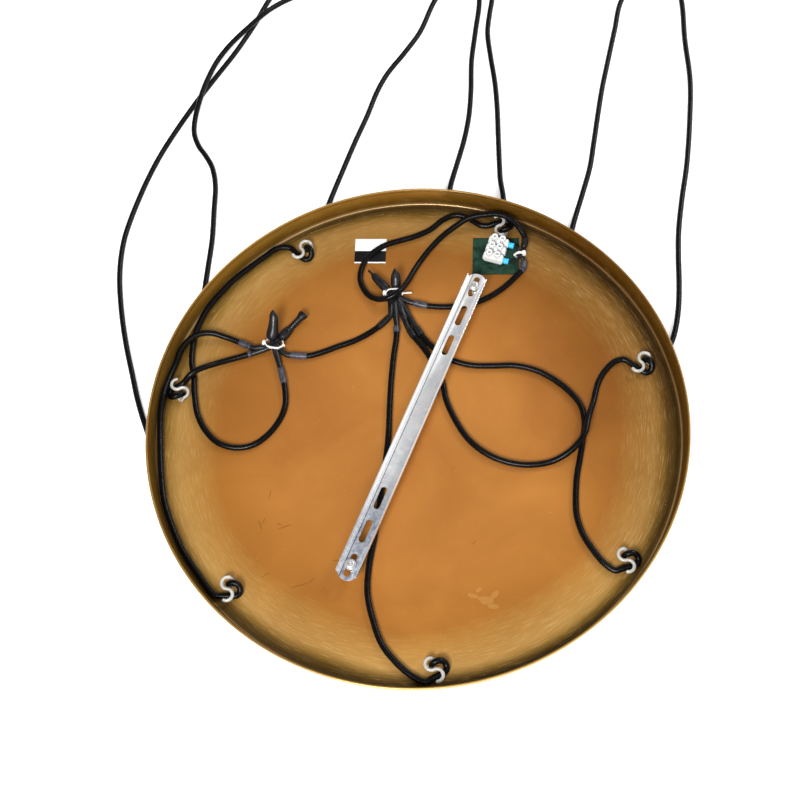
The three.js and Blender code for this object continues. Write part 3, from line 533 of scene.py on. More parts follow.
# Per cord: hole, heading under the pan, turns, hand, middle of the coil, its radius, start and tail angle,
# and the points on the table (x, y and, where lifted, the height of the middle over the table).
CORDS = {
    "a": (1, 66, 4, 1, (85, 577), 32.2, -20, 90, [
        (-63, 252), (-54, 274), (-37, 309), (-19, 345), (-2, 377), (12, 406), (26, 428), (49, 454), (69, 479),
        (92, 521),
    ]),
    "b": (2, 84, 3, 1, (-5, 605), 30.7, -80, 75, [
        (-207, 110), (-198, 153), (-190, 194), (-185, 219), (-179, 249), (-174.5, 285), (-171, 316),
        (-173, 339), (-178.5, 354), (-185.5, 369), (-189, 386, 3.6), (-186.5, 404, 5), (-177.5, 430, 9),
        (-168.5, 451, 10.1), (-156, 474, 10.3), (-139, 495, 10.3), (-118, 514.5, 10.3), (-99, 531, 9.8),
        (-84, 543, 6.8), (-67, 553, 3.8), (-40, 562),
    ]),
    "c": (3, 116, 2, 1, (-100.7, 608), 32.4, -12, 90, [
        (-212, -80), (-233, -30), (-249, 18), (-258, 51), (-264, 79), (-268, 107), (-272, 135), (-275, 164),
        (-276.5, 193), (-276.5, 217), (-274.5, 240), (-270, 264), (-262.5, 287), (-251.5, 314), (-241, 337),
        (-226, 365), (-204, 399), (-181, 431), (-159, 459), (-136, 488), (-114, 520), (-93, 555),
    ]),
    "d": (4, 76, 1, 1, (145, 713), 36.3, -35, 115, [
        (-4, -180), (16, -120), (34, -60), (45, 0), (48.5, 60), (49, 120), (53, 180), (63, 236), (72, 271),
        (83, 298), (95, 327), (105, 358), (112, 390), (118.5, 428), (129, 468), (140, 510), (143, 548),
        (142.5, 590), (143.5, 630), (152, 660),
    ]),
    "e": (5, 84, 2, 1, (296, 548), 37.5, -30, 105, [
        (169, -115), (168, -60), (162, 0), (159, 60), (163, 120), (174, 168), (188, 204), (206, 243),
        (218, 270), (228, 300), (238, 331), (250, 367), (264, 404), (279, 443), (295, 483),
    ]),
    "f": (6, 22, 3, -1, (403, 524), 37.2, 170, 90, [
        (246, 45.5), (256, 57), (263, 70), (271, 92), (278, 120), (284, 150), (291, 180), (303, 218),
        (316, 255), (332, 311), (344, 362), (350.5, 416), (359, 471),
    ]),
    "g": (0, 68, 4, -1, (203, 557), 34.4, 170, 90, [
        (121, 226), (124, 250), (124.5, 271), (127, 293), (131, 324), (136, 362), (139, 396), (140, 431),
        (142, 464), (149, 492), (154, 509),
    ]),
}
UNDER_BEND = 12.6  # radius of the bend under the pan
COIL_PITCH, COIL_LAYER, COIL_TAIL = 7.2, 6.8, 34  # from turn to turn, from layer to layer, the straight end
HOLDER_AXIS = 14.2  # of a lampholder, over the table

# %% The way of a coil and of a whole cord
def coil_line(turns, hand, middle, radius, start, tail, per_turn=16):
    """Coil points (cx + r cos a, cy + r sin a, z). On the table r shrinks by one pitch a turn, then z
    rises by one layer over half a turn as (1 - cos) / 2, and above it r grows again. The tail runs
    straight out and rises to the lampholder's axis."""
    travel = 360 * turns + hand * (tail - 90 * hand - start)
    spiral = (travel - 180) / 2
    steps = round(travel / 360 * per_turn)
    gone = travel * np.arange(steps + 1) / steps
    climbed = np.clip((gone - spiral) / 180, 0, 1)
    spun = np.where(gone < spiral, spiral - gone, np.maximum(gone - spiral - 180, 0))
    r = radius - COIL_PITCH * spiral / 720 + COIL_PITCH * spun / 360 - 1.2 * np.sin(climbed * np.pi)
    a = np.radians(start + hand * gone)
    z = LYING + COIL_LAYER * (1 - np.cos(climbed * np.pi)) / 2
    wound = np.stack([middle[0] + r * np.cos(a), middle[1] + r * np.sin(a), z], axis=1)
    last = wound[-1]
    share, rise = np.array([0.2, 0.4, 0.6, 0.8, 1.0]), np.array([0.08, 0.5, 0.92, 1, 1])
    flat = last[:2] + COIL_TAIL * share[:, None] * direction(tail)
    return np.vstack([wound, np.column_stack([flat, last[2] + (HOLDER_AXIS - last[2]) * rise])])


def cord_line(at, leave, turns, hand, middle, radius, start, tail, route):
    """The whole middle line of a cord in the lamp's frame, with points 2 mm apart."""
    top = LYING + UNDER_BEND
    points = [(*hole(at), UNDERSIDE - TABLE)]
    for angle in np.radians([0, 30, 60, 90]):
        reach = UNDER_BEND * (1 - np.cos(angle))
        points.append((*(hole(at) + reach * direction(leave)), top - UNDER_BEND * np.sin(angle)))
    points += [(*p, LYING) if len(p) == 2 else p for p in route]
    coil = coil_line(turns, hand, middle, radius, start, tail)
    inward = placed(unit(coil[1] - coil[0])[None], heading=-9 * hand)[0]
    points += [coil[0] - 12.6 * inward, coil[0] - 6 * inward]
    line = evenly(curve_through(np.vstack([np.array(points), coil]), 8), 2.0)
    return line + [0, 0, TABLE]


cord_lines = {letter: cord_line(*facts) for letter, facts in CORDS.items()}
for letter, line in cord_lines.items():
    made = skin(swept(line, circle(CORD, 14)))
    solids = ("cord_" + letter, "coil_" + letter)
    piece("free_cord_" + letter, made, CORD_FINISH, solids)
    print("cord", letter, round(distances(line)[-1]), "mm")

# %% [markdown]
# ## The lampholders
#
# Each cord ends in a small screw lampholder of black plastic: a round grip where the cord enters, a
# shoulder, a smooth body and a threaded ring at the mouth. Inside sit a brass screw shell and a contact
# spring. All of it is turned about one axis, so each part is a profile, and only the thread and the ribs
# of the grip need a radius that also changes with the angle.

# %% Finishes of the lampholders
HOLDER_FINISH = grained(
    "black_plastic", screen(10, 10, 11), 0.34, tones=(screen(6, 6, 7), screen(14, 14, 15)),
    clouds=(60, 3, 0.35, 0.7), grain=(1400, 3), raised=(0.03, 0.35), rough=[(0.3, 0.32), (0.8, 0.5)],
    Specular_IOR_Level=0.2,
)
BRASS_FINISH = grained(
    "brass", screen(196, 152, 84), 0.28, tones=(screen(206, 164, 94), screen(158, 116, 58)),
    clouds=(90, 4, 0.35, 0.7), grain=(30, 3, 8, 8, 120), raised=(0.02, 0.3), rough=[(0.3, 0.22), (0.75, 0.42)],
    Metallic=1.0,
)
print("finishes", HOLDER_FINISH.name, BRASS_FINISH.name)

# %% Lampholders
def holder_rings():
    """Turned profile of the plastic body; the grip's ribs are r - 0.35 (1 + cos 12 a) / 2."""
    outside = [(0, 0), (2.9, 0), (4.6, 0.2), (5.6, 0.8), (6, 1.6), (6, 7.2), (6.6, 7.8), (10.5, 8.6),
               (12.6, 10.2), (13.6, 12.6), (13.85, 15), (13.85, 33.6), (13.3, 34), (13.3, 35), (13.85, 35.4),
               (13.85, 54.6), (13.5, 55.5), (12.8, 55.95)]
    inside = [(10.2, 55.95), (9.4, 55.6), (8.9, 54), (8.9, 52), (7.9, 51.4), (7.9, 27), (7.5, 26.2), (0, 26.2)]

    def ribs(a, z, r):
        return r - np.where((z > 1.2) & (z < 7.4), 0.35 * (1 + np.cos(12 * a)) / 2, 0)

    return turned(np.vstack([outside, inside]), 60, ribs)


def shell_rings():
    """The brass screw shell: a thin wall whose two faces ripple by depth * sin(2 pi z / pitch - a)."""
    depth, pitch = 0.35, 2.8
    outer, inner = (np.column_stack([np.full(60, r), np.linspace(27, 50.5, 60)]) for r in (7.05, 6.75))
    profile = np.vstack([outer, inner[::-1]])

    def thread(a, z, r):
        return r + depth * np.sin(2 * np.pi * z / pitch - a)

    return turned(profile, 36, thread)


def contact_rings():
    """The sprung middle contact: a small domed button on its stem."""
    return turned([(0, 26.4), (3.2, 26.4), (3.2, 27.2), (1.6, 27.4), (1.6, 30), (2.6, 30.4), (2.4, 31.2),
                   (1.4, 31.8), (0, 32)], 24)


HOLDER_PARTS = (holder_rings(), shell_rings(), contact_rings())
for letter, line in cord_lines.items():
    end, way = line[-1], unit(line[-1] - line[-4])
    body, shell, contact = (aimed(rings, end, end + way) for rings in HOLDER_PARTS)
    metal = together(skin(shell, closed=True), skin(contact))
    piece("holder_" + letter, skin(body), HOLDER_FINISH, ("lampholder_" + letter,))
    piece("holder_contacts_" + letter, metal, BRASS_FINISH)

for letter, line in cord_lines.items():
    x, y = hole(CORDS[letter][0])

# %% [markdown]
# ## Floor and light
#
# The photograph was taken on a light table: the ground is blown out and throws hardly any shadow, while
# in the pan soft shadows fall away from the front left. So the floor is a plain white sheet that glows a
# little, the world is brighter from the sides than from above, and a wide lamp at the front left makes
# the shadows. A small one in front draws thin highlights on the cords and the lacquer, and a far one at
# the back right lights the pan's other side.

# %% Floor, world and lamps
def add_floor(level):
    """A flat square, 12 m wide, at the given height."""
    mesh = bpy.data.meshes.new("floor")
    corners = np.array([[-6, -6, 0], [6, -6, 0], [6, 6, 0], [-6, 6, 0]]) + [0, 0, level * MM]
    mesh.from_pydata(corners.tolist(), [], [(0, 1, 2, 3)])
    floor = bpy.data.objects.new("floor", mesh)
    bpy.context.scene.collection.objects.link(floor)
    sheet = Finish("table_top", (0.9, 0.9, 0.9, 1), 0.9, Specular_IOR_Level=0.1,
                   Emission_Color=(1, 1, 1, 1), Emission_Strength=0.45)
    mesh.materials.append(sheet.material)


def add_lamp(name, place, size, power):
    """A square area lamp at `place` (metres) that shines on the middle of the lamp, `size` metres wide."""
    data = bpy.data.lights.new(name, "AREA")
    data.shape, data.size, data.energy = "SQUARE", size, power
    back = unit(place)
    x = unit(np.cross((0, 1, 0.1), back))
    set_up(name, data, place, [x, np.cross(back, x), back])


def add_world(overhead, sides, left, right):
    """Grey light, as bright as `sides` from the sides and `overhead` from above, times `left` to `right`:
    a room with white walls and a window."""
    world = bpy.data.worlds.new("white_walls")
    world.use_nodes = True
    nodes, links = world.node_tree.nodes, world.node_tree.links
    split, ramp = nodes.new("ShaderNodeSeparateXYZ"), nodes.new("ShaderNodeValToRGB")
    links.new(nodes.new("ShaderNodeTexCoord").outputs["Generated"], split.inputs[0])
    links.new(split.outputs[2], ramp.inputs[0])
    for element, position, level in zip(ramp.color_ramp.elements, (0.35, 0.85), (sides, overhead)):
        element.position, element.color = position, (level, level, level, 1)
    background = nodes["Background"]
    links.new(ramp.outputs[0], background.inputs["Color"])
    # At the horizon the walls are white all round; higher up the left side fades to its own level.
    height, across = nodes.new("ShaderNodeMapRange"), nodes.new("ShaderNodeMapRange")
    for node, values in ((height, (0.12, 0.32, right, left)), (across, (-0.5, 0.5, left, right))):
        for name, value in zip(("From Min", "From Max", "To Min", "To Max"), values):
            node.inputs[name].default_value = value
    links.new(split.outputs[2], height.inputs["Value"])
    links.new(height.outputs[0], across.inputs["To Min"])
    links.new(split.outputs[0], across.inputs["Value"])
    links.new(across.outputs[0], background.inputs["Strength"])
    bpy.context.scene.world = world


add_floor(min(TABLE, cad_box[0].z / MM) - 0.02)
add_world(overhead=0.45, sides=1.0, left=0.4, right=1.2)
add_lamp("key", (-0.6, -1.25, 1.6), size=0.6, power=59)
add_lamp("front", (-0.15, -0.85, 1.5), size=0.12, power=6)
add_lamp("side", (2.7, 1.84, 2.9), size=0.8, power=60)
bpy.context.scene.view_settings.view_transform = "Standard"

# %% [markdown]
# ## The pan
#
# The pan is pressed from one bronze-lacquered sheet: a flat floor, a gentle rise, a crease, a steep wall
# and a rolled hem. It could be a disc with a rim extruded from it, but turning a profile gives every
# radius its true curve. The imported solid has 52 sides; this one has 360, so the rim is round. The seven
# cord holes and the two screw holes are cut from it afterwards, as a punch would.
#
# Its lacquer could be a picture, but its colour goes mostly by the distance from the middle. So the
# length of the flat place is read off along a row of tones, with painted shade and painted highlights by
# the wall. A painted shade that darkens the right side, clouds, turning lines, specks, scratches and
# smudges are laid over that one by one.

# %% The pan's profile
CREASE_RADIUS, CREASE_HEIGHT = 245.5, 2.2
RISE = ((CREASE_RADIUS - FLOOR_RADIUS) ** 2 + CREASE_HEIGHT**2) / (2 * CREASE_HEIGHT)  # radius of the rise


def pan_profile():
    """(radius, height) pairs from under the middle, out along the underside, up the wall, round the hem
    and back in along the upper face."""
    steep = np.degrees(np.arcsin((CREASE_RADIUS - FLOOR_RADIUS) / RISE))
    under = arc(FLOOR_RADIUS, FLOOR + RISE, RISE + 1, -90, steep - 90, 8)
    over = arc(FLOOR_RADIUS, FLOOR + RISE, RISE, steep - 90, -90, 8)
    outer_wall = [(246.6, -17.5), (247.2, -14), (248.6, -5), (249.7, 2.4)]
    hem = arc(248.9, RIM - 1.1, 1.1, 0, 180, 10)
    inner_wall = [(247.75, 1.3), (247.9, 0.9), (248.3, 0.5), (248.25, 0), (247.6, -4), (246.6, -10),
                  (245.9, -14.6), (245.6, -16.3), (245.2, -16.95), (244.4, -17.2)]
    flat = np.linspace(0, FLOOR_RADIUS, 16)
    below = np.column_stack([flat, np.full(16, UNDERSIDE)])
    above = np.column_stack([flat, np.full(16, FLOOR)])[::-1]
    return np.vstack([below, under[1:], outer_wall, hem, inner_wall, over[1:], above[1:]])


def peg(x, y, radius, low, high, sides=40):
    """A plain round cutter standing at x, y."""
    return skin(turned([(0, low), (radius, low), (radius, high), (0, high)], sides) + [x, y, 0])


# %% Scratches
def scratched(pan, strokes, wobble):
    """1 inside thin ellipses (x, y, half length, half width, heading), their edges shaken by `wobble`,
    and only above the middle of the sheet."""
    total = 0.0
    for x, y, length, width, heading in strokes:
        c, s = direction(heading)
        own = pan.add("VectorMath", 0, {0: pan.place, 1: (x * MM, y * MM, FLOOR * MM)}, operation="SUBTRACT")
        along = pan.lying_along(own, (c / (length * MM), s / (length * MM), 0))
        across = pan.lying_along(own, (-s / (width * MM), c / (width * MM), 0))
        across = pan.maths("ADD", across, pan.times(wobble, 2.5))
        squares = [pan.maths("POWER", pan.maths("ABSOLUTE", way), 2) for way in (along, across)]
        total = pan.maths("ADD", total, pan.maths("LESS_THAN", pan.maths("ADD", *squares), 1.0))
    on_top = pan.maths("GREATER_THAN", pan.part(pan.place, 2), (FLOOR - 0.5) * MM)
    return pan.times(pan.maths("MINIMUM", total, 1.0), on_top)


# %% Bronze lacquer
def bronze_lacquer():
    """Colour by the distance from the middle, with painted shade and highlights by the wall, a painted
    shade that darkens the right side, cloudy wear, fine turning lines and a few scratches.
    """
    pan = Finish("bronze_lacquer", screen(160, 105, 46), 0.4, Metallic=0.4, Specular_IOR_Level=0.12,
                 Coat_Weight=0.2, Coat_Roughness=0.05)
    flat = pan.stretched(1, 1, 0)
    radius = pan.add("VectorMath", "Value", {0: flat}, operation="LENGTH")
    drift = pan.times(pan.maths("SUBTRACT", pan.noise(6, 4), 0.5), 0.03)
    share = pan.maths("DIVIDE", pan.maths("ADD", radius, drift), PAN_RADIUS * MM)
    # Tones by the distance from the middle; the two darker ones by the foot of the wall are partly the
    # lacquer's own tone and partly painted shade.
    tone = pan.shades(share, [
        (0.0, 189, 127, 60), (0.5, 181, 119, 54), (0.76, 164, 107, 43), (0.83, 170, 123, 58),
        (0.9, 175, 134, 71), (0.937, 142, 107, 44), (0.955, 112, 84, 30),
    ])
    # By the wall: painted shade on the rise and at the wall's foot, a painted highlight along the crease, and
    # the wall growing lighter up to a painted highlight on the hem.
    ring = pan.maths("DIVIDE", radius, PAN_RADIUS * MM)
    edge = pan.shades(ring, [
        (0.95, 88, 64, 16), (0.966, 64, 46, 9), (0.9765, 84, 60, 16), (0.979, 236, 202, 148),
        (0.9815, 90, 62, 16), (0.985, 104, 74, 20), (0.991, 134, 98, 32), (0.995, 156, 120, 52),
        (1.0, 214, 184, 122),
    ])
    # Painted shade: the right side is darker. `side` is about 0 at the rim's left and 1 at its right;
    # towards the left the painted shade and highlights by the wall come in less, and towards the right the
    # colour is multiplied by a darker tone.
    side = pan.maths("ADD", pan.lying_along(flat, (1.75, 0.8, 0)), 0.5)
    painted_shade_by_side = pan.ramp(side, [(0.0, 0.45), (0.35, 1.0)])
    # The painted shade and highlights by the wall, weaker towards the left.
    tone = pan.mixed(pan.times(pan.ramp(ring, [(0.93, 0.0), (0.965, 1.0)]), painted_shade_by_side), tone, edge)
    # Painted shade: towards the right the colour is multiplied by a darker tone.
    tone = pan.mixed(pan.ramp(side, [(0.66, 0.0), (1.0, 1.0)]), tone, screen(184, 166, 126), "MULTIPLY")
    tone = pan.clouded(tone, screen(140, 84, 24), 9, 5, 0.3, 0.75, 0.4, "MULTIPLY", 0.6)
    # Turning lines: a noise that is drawn out round the middle and very fine along the radius.
    around = pan.add("VectorMath", 0, {0: flat}, operation="NORMALIZE")
    around = pan.add("VectorMath", 0, {0: around, 1: (16, 16, 0)}, operation="MULTIPLY")
    polar = {"X": pan.part(around, 0), "Y": pan.part(around, 1), "Z": pan.times(radius, 1500)}
    lines = pan.noise(1, 3, pan.add("CombineXYZ", 0, polar))
    band = pan.ramp(share, [(0.74, 0.0), (0.86, 1.0), (0.94, 1.0), (0.97, 0.2)])
    streak = pan.times(pan.ramp(lines, [(0.52, 0.0), (0.72, 1.0)]), band)
    tone = pan.painted(tone, screen(224, 190, 130), streak, 0.26)
    tone = pan.clouded(tone, screen(230, 196, 140), 620, 2, 0.72, 0.77, 0.4)
    for strokes, wobble, colour, cover in ((SCRATCHES, (160, 3), screen(70, 38, 12), 0.6),
                                           (SMUDGES, (90, 5), screen(216, 172, 106), 0.16)):
        marks = scratched(pan, strokes, pan.maths("SUBTRACT", pan.noise(*wobble), 0.5))
        tone = pan.painted(tone, colour, marks, cover)
    rough = pan.ramp(pan.noise(16, 5), [(0.3, 0.3), (0.75, 0.42)])
    return pan.wear(Base_Color=tone, Roughness=rough, Normal=pan.bumped(lines, 0.02, 0.25))


# Marks of use: x, y, half length, half width and heading, all on the pan's floor.
SCRATCHES = [
    (-153.5, -74, 5.2, 0.35, 107), (-150, -71, 3.4, 0.3, 60), (-131, -79, 6.5, 0.35, 12),
    (-136, -76, 2.6, 0.3, 150), (-142, -46, 4.6, 0.3, 75), (-123, -136, 9, 0.3, 8), (-112, -133, 3, 0.3, 40),
    (-153, -122, 4.4, 0.3, 20), (-88, -118, 5, 0.25, 170), (36, -120, 3, 0.25, 35),
]
SMUDGES = [
    (28, -168, 5, 2.2, 150), (38, -174, 7, 3.4, 160), (47, -169, 4, 2.4, 20), (44, -180, 5, 2.0, 170),
    (34, -164, 3, 1.6, 30),
]
PAN_FINISH = bronze_lacquer()
print("finish", PAN_FINISH.name, "with", len(SCRATCHES), "scratches")

# %% Punch the pan
SCREW_PLACES = {end: placed(np.array([side * SCREW_REACH, 0, 0]), heading=BAR_ANGLE)
                for end, side in (("far", 1), ("near", -1))}
CORD_HOLE, SCREW_HOLE = 3.4, 2.3  # radii
holes = [(hole(index), CORD_HOLE) for index in range(7)]
holes += [(place[:2], SCREW_HOLE) for place in (SCREW_PLACES["near"], SCREW_PLACES["far"])]
punches = together(*[peg(*middle, radius, UNDERSIDE - 3, FLOOR + 3) for middle, radius in holes])
pan = carved("pan", skin(turned(pan_profile(), 360)), punches)
piece("pan", pan, PAN_FINISH, ("canopy_pan",), sharp=50)
print("pan", len(pan.polygons), "faces")

# %% [markdown]
# ## The ceiling bar
#
# A zinc-plated channel with its flanges up, screwed to the ceiling; the pan hangs from its two long
# screws. It is folded from sheet, so its corners have a small bend radius, which is what catches the
# light. The channel's section is drawn once and carried along its length. Slots, the flange ends and the
# round ends of the web are then cut away.

# %% Zinc finish
def plated(name, colour, metallic, cell_scale, greys, bloom):
    """A bright finish with large faint crystals: cells of slightly different tone, and a cloudy bloom."""
    metal = Finish(name, colour, 0.3, Metallic=metallic)
    cells = metal.cells("Color", cell_scale, metal.stretched(1, 1, 0.4, 30))
    tone = metal.shades(metal.add("SeparateColor", 0, {0: cells}), greys)
    metal.wear(Normal=metal.bumped(metal.noise(500, 2), 0.02, 0.2))
    return metal, metal.clouded(tone, *bloom)


def zinc():
    """The plating of the screws and nuts."""
    metal, tone = plated(
        "zinc_plating", screen(222, 223, 222), 0.9, 150,
        [(0.0, 196, 202, 208), (0.35, 224, 222, 224), (0.6, 212, 220, 214), (0.8, 228, 220, 218),
         (1.0, 238, 238, 236)],
        (screen(168, 174, 180), 70, 5, 0.42, 0.75, 0.4),
    )
    return metal.wear(Base_Color=tone, Roughness=metal.ramp(metal.noise(45, 4), [(0.3, 0.24), (0.75, 0.42)]))


def bar_zinc():
    """The same plating, with painted highlights that make the flanges almost white and a painted shade
    line in the fold beside them, and duller at the far end. `across` runs over the bar's 20 mm from 0 to 1,
    `along` over 333 mm."""
    metal, tone = plated(
        "bar_plating", screen(220, 221, 220), 0.75, 190,
        [(0.0, 214, 217, 222), (0.35, 226, 223, 226), (0.6, 219, 226, 222), (0.8, 228, 223, 222),
         (1.0, 236, 236, 234)],
        (screen(200, 204, 210), 90, 5, 0.45, 0.75, 0.25),
    )
    c, s = direction(BAR_ANGLE)
    across = metal.maths("ADD", metal.lying_along(metal.place, (-s * 50, c * 50, 0)), 0.5)
    along = metal.maths("ADD", metal.lying_along(metal.place, (c * 3, s * 3, 0)), 0.5)
    far_end = metal.ramp(along, [(0.18, 1.0), (0.34, 0.0)])
    dull = metal.clouded(screen(84, 96, 118), screen(178, 188, 202), 300, 4, 0.35, 0.65)
    tone = metal.painted(tone, dull, far_end, 0.75)
    # Painted highlight: the flanges almost white, less so at the far end.
    white = metal.ramp(across, [(0.055, 1.0), (0.075, 0.0), (0.79, 0.0), (0.8, 1.0)])
    kept = metal.maths("SUBTRACT", 1.0, metal.times(far_end, 0.55))
    tone = metal.painted(tone, screen(255, 255, 255), white, kept)
    # Painted shade: a dark line in the fold beside each flange.
    fold_shade = metal.ramp(across, [(0.055, 0.0), (0.065, 1.0), (0.075, 0.0),
                               (0.755, 0.0), (0.768, 1.0), (0.79, 1.0), (0.798, 0.0)])
    tone = metal.painted(tone, screen(40, 46, 62), fold_shade, 0.85)
    rough = metal.ramp(metal.noise(45, 4), [(0.3, 0.22), (0.75, 0.38)])
    rough = metal.times(rough, metal.maths("SUBTRACT", 1.0, metal.times(white, 0.6)))
    return metal.wear(Base_Color=tone, Roughness=rough)


ZINC_FINISH, BAR_FINISH = zinc(), bar_zinc()
print("finishes", ZINC_FINISH.name, BAR_FINISH.name)

# %% Bar
BAR_HALF = 164.6
SLOT_PITCH, SLOT_HALF, SLOT_RADIUS = 33.7, 8.35, 2.9  # half the straight part, and the round ends


def channel_section():
    """The U of the bar as (height, sideways) points, anticlockwise: 20 wide, 6 high, 1.2 thick, with an
    outer bend radius of 1.7 and an inner one of 0.5."""
    bend, edges = arc(8.3, 0.5, 1.7, -90, 0, 5), (arc(9.9, 4.7, 0.1, 0, 90, 1), arc(8.9, 4.7, 0.1, 90, 180, 1))
    right = np.vstack([bend, [(10, 4.7)], *edges, arc(8.3, 0.5, 0.5, 0, -90, 4)])
    return np.vstack([right, right[::-1] * [-1, 1]])[::-1, ::-1]


def bar_cutters():
    """Six slots, and all that lies outside the round ends of the web."""
    tools = []
    for side in (-1, 1):
        for x in side * (SCREW_REACH - SLOT_PITCH * np.arange(3)):
            tools.append(prism(np.vstack([arc(x + SLOT_HALF, 0, SLOT_RADIUS, -90, 90, 12),
                                          arc(x - SLOT_HALF, 0, SLOT_RADIUS, 90, 270, 12)]), -3, 3))
        bow = arc(154.6, 0, 9.98, -60.6, 60.6, 20)
        tools.append(prism(side * np.vstack([bow, [(159.5, 11), (166, 11), (166, -11), (159.5, -11)]]), -3, 8))
    return together(*tools)


def prism(outline, low, high):
    """An upright block over an outline, which is turned round where it runs clockwise: its area is
    half the sum of x y' - x' y over neighbouring points, and negative then."""
    outline = np.asarray(outline, float)
    x, y = outline.T
    if np.sum(x * np.roll(y, -1) - np.roll(x, -1) * y) < 0:
        outline = outline[::-1]
    rings = np.stack([np.column_stack([outline, np.full(len(outline), z)]) for z in (low, high)])
    return skin(rings, flat_ends=True)


bar_line = np.column_stack([np.linspace(-BAR_HALF, BAR_HALF, 3), np.zeros(3), np.full(3, -1.2)])
bar = skin(swept(bar_line, channel_section(), across=(0, 0, 1)), flat_ends=True)
whole, tools = (moved(made, heading=BAR_ANGLE) for made in (bar, bar_cutters()))
bar = carved("channel_bar", whole, tools, bevel=0.12)
piece("channel_bar", bar, BAR_FINISH, ("ceiling_bar",), body="bar_assembly", sharp=30)
print("bar", len(bar.polygons), "faces")

# %% [markdown]
# ## Screws, lock nuts and cap nuts
#
# Two long machine screws go through the bar's end slots and down through the pan, where knurled cap nuts
# hold it. A hexagon, a knurl and a thread are all turned surfaces whose radius also depends on the angle,
# so one function makes them: a hexagon is its flat's distance over the cosine, a thread is a ramp that
# goes round once per pitch.

# %% Screws
def hexagon(a, flat):
    """Distance from the axis to the side of a hexagon: flat / cos(angle from the nearest side's middle)."""
    return flat / np.cos((a + np.pi / 6) % (np.pi / 3) - np.pi / 6)


def screw_skin():
    """Head, washer and threaded shank: the radius of its thread is core + depth times a saw that goes from
    0 to 1 and back over z / pitch - a / 2 pi."""
    core, depth, pitch = 1.72, 0.27, 0.7
    shank = np.column_stack([np.full(381, 1.98), np.linspace(-34.2, -1.0, 381)])
    head = [(2.0, 0.0), (5.0, 0.02), (5.2, 0.2), (5.2, 0.9), (5.0, 1.1), (4.1, 1.12), (4.05, 1.4), (4.0, 2.0)]
    dome = arc(2.6, 2.1, 1.4, 0, 90, 6)
    profile = np.vstack([[(0, -34.7), (1.5, -34.7)], shank, head, dome, [(1.2, 3.5), (0, 3.5)]])

    def thread(a, z, r):
        saw = np.abs((z / pitch - a / (2 * np.pi)) % 1 * 2 - 1)
        return np.where((z > -34.3) & (z < -0.9), core + depth * saw, r)

    return skin(turned(profile, 20, thread))


def cross_skin():
    """The cutter of a cross recess: a plus sign that is narrower and shorter towards its foot."""
    rings = []
    for reach, half, z in ((1.1, 0.4, 1.7), (2.8, 0.7, 4.2)):
        arm = np.array([[reach, -half], [reach, half], [half, half]])
        arm = np.column_stack([arm, np.full(3, z)])
        rings.append(np.vstack([placed(arm, heading=20 + 90 * quarter) for quarter in range(4)]))
    return skin(np.array(rings), flat_ends=True)


# %% Nuts
def nut_skin(top):
    """A hexagon nut, 7 over the flats and 3.2 high, its corners cut back by a cone at both faces."""
    tall = 3.2
    outer = [(4.2, z) for z in (0, 0.25, 0.5, 0.9, 1.6, 2.3, 2.7, 2.95, tall)]
    profile = [(2.3, 0.25), (2.6, 0)] + outer + [(2.6, tall), (2.3, 2.95)]

    def shape(a, z, r):
        corner = 3.62 + 1.7 * np.minimum(z, tall - z)
        return np.where(r > 3, np.minimum(hexagon(a, 3.5), corner), r)

    return skin(turned(profile, 60, shape) + [0, 0, top - tall], closed=True)


def cap_nut_skin():
    """A knurled cap nut, 13 across. Over the band its radius is 6.5 - depth (1 - |sin A| |sin B|), where A
    and B are grooves * a +- slope * z."""
    low, high = TABLE + 0.01, UNDERSIDE - 0.03
    depth, grooves, slope = 0.34, 18, 2.3
    foot = [(0, low), (5.2, low), (5.9, low + 0.2), (6.3, low + 0.6), (6.45, low + 1.2), (6.45, low + 2.2),
            (6.1, low + 2.5), (6.1, low + 2.9)]
    band = [(6.5, z) for z in np.linspace(low + 3.1, low + 15.4, 50)]
    head = [(6.1, low + 15.6), (6.1, low + 16.2), (6.45, low + 16.5), (6.45, high - 0.5), (6.1, high - 0.1),
            (5.8, high), (2.3, high), (2.05, high - 0.5), (2.05, high - 16.0), (0, high - 17)]

    def knurl(a, z, r):
        one, two = (np.abs(np.sin(grooves * a + way * slope * (z - low))) for way in (1, -1))
        return np.where((z > low + 3) & (z < low + 15.5) & (r > 6.4), 6.5 - depth * (1 - one * two), r)

    return turned(foot + band + head, 216, knurl)


# %% Fixings in their places
for end, shift in SCREW_PLACES.items():
    own = (screw_skin(), cross_skin(), nut_skin(-1.25))
    screw, cross, nut = (moved(made, shift, BAR_ANGLE) for made in own)
    for name, made, solid, sharp in (("screw_", carved("screw_" + end, screw, cross), "bar_screw_", 30),
                                     ("hex_nut_", nut, "lock_nut_", 25)):
        piece(name + end, made, ZINC_FINISH, (solid + end,), body="bar_assembly", sharp=sharp)
    piece("knurled_nut_" + end, skin(cap_nut_skin() + shift), BRASS_FINISH, ("cap_nut_" + end,),
          body=end + "_cap_nut", sharp=40)
print("fixings at", SCREW_PLACES["far"].round(1), "and", SCREW_PLACES["near"].round(1))

# %% [markdown]
# ## The cord grips
#
# Each cord is held at its hole by a flat S of white nylon. The lead runs under one bowl of the S, curls
# back over and dives through the other bowl into its hole, so a pull from below only tightens it. The S
# is a rounded strand carried along two arcs, with its ends drawn in over a half circle. One end is bent
# down, where the lead has pulled it to the floor.

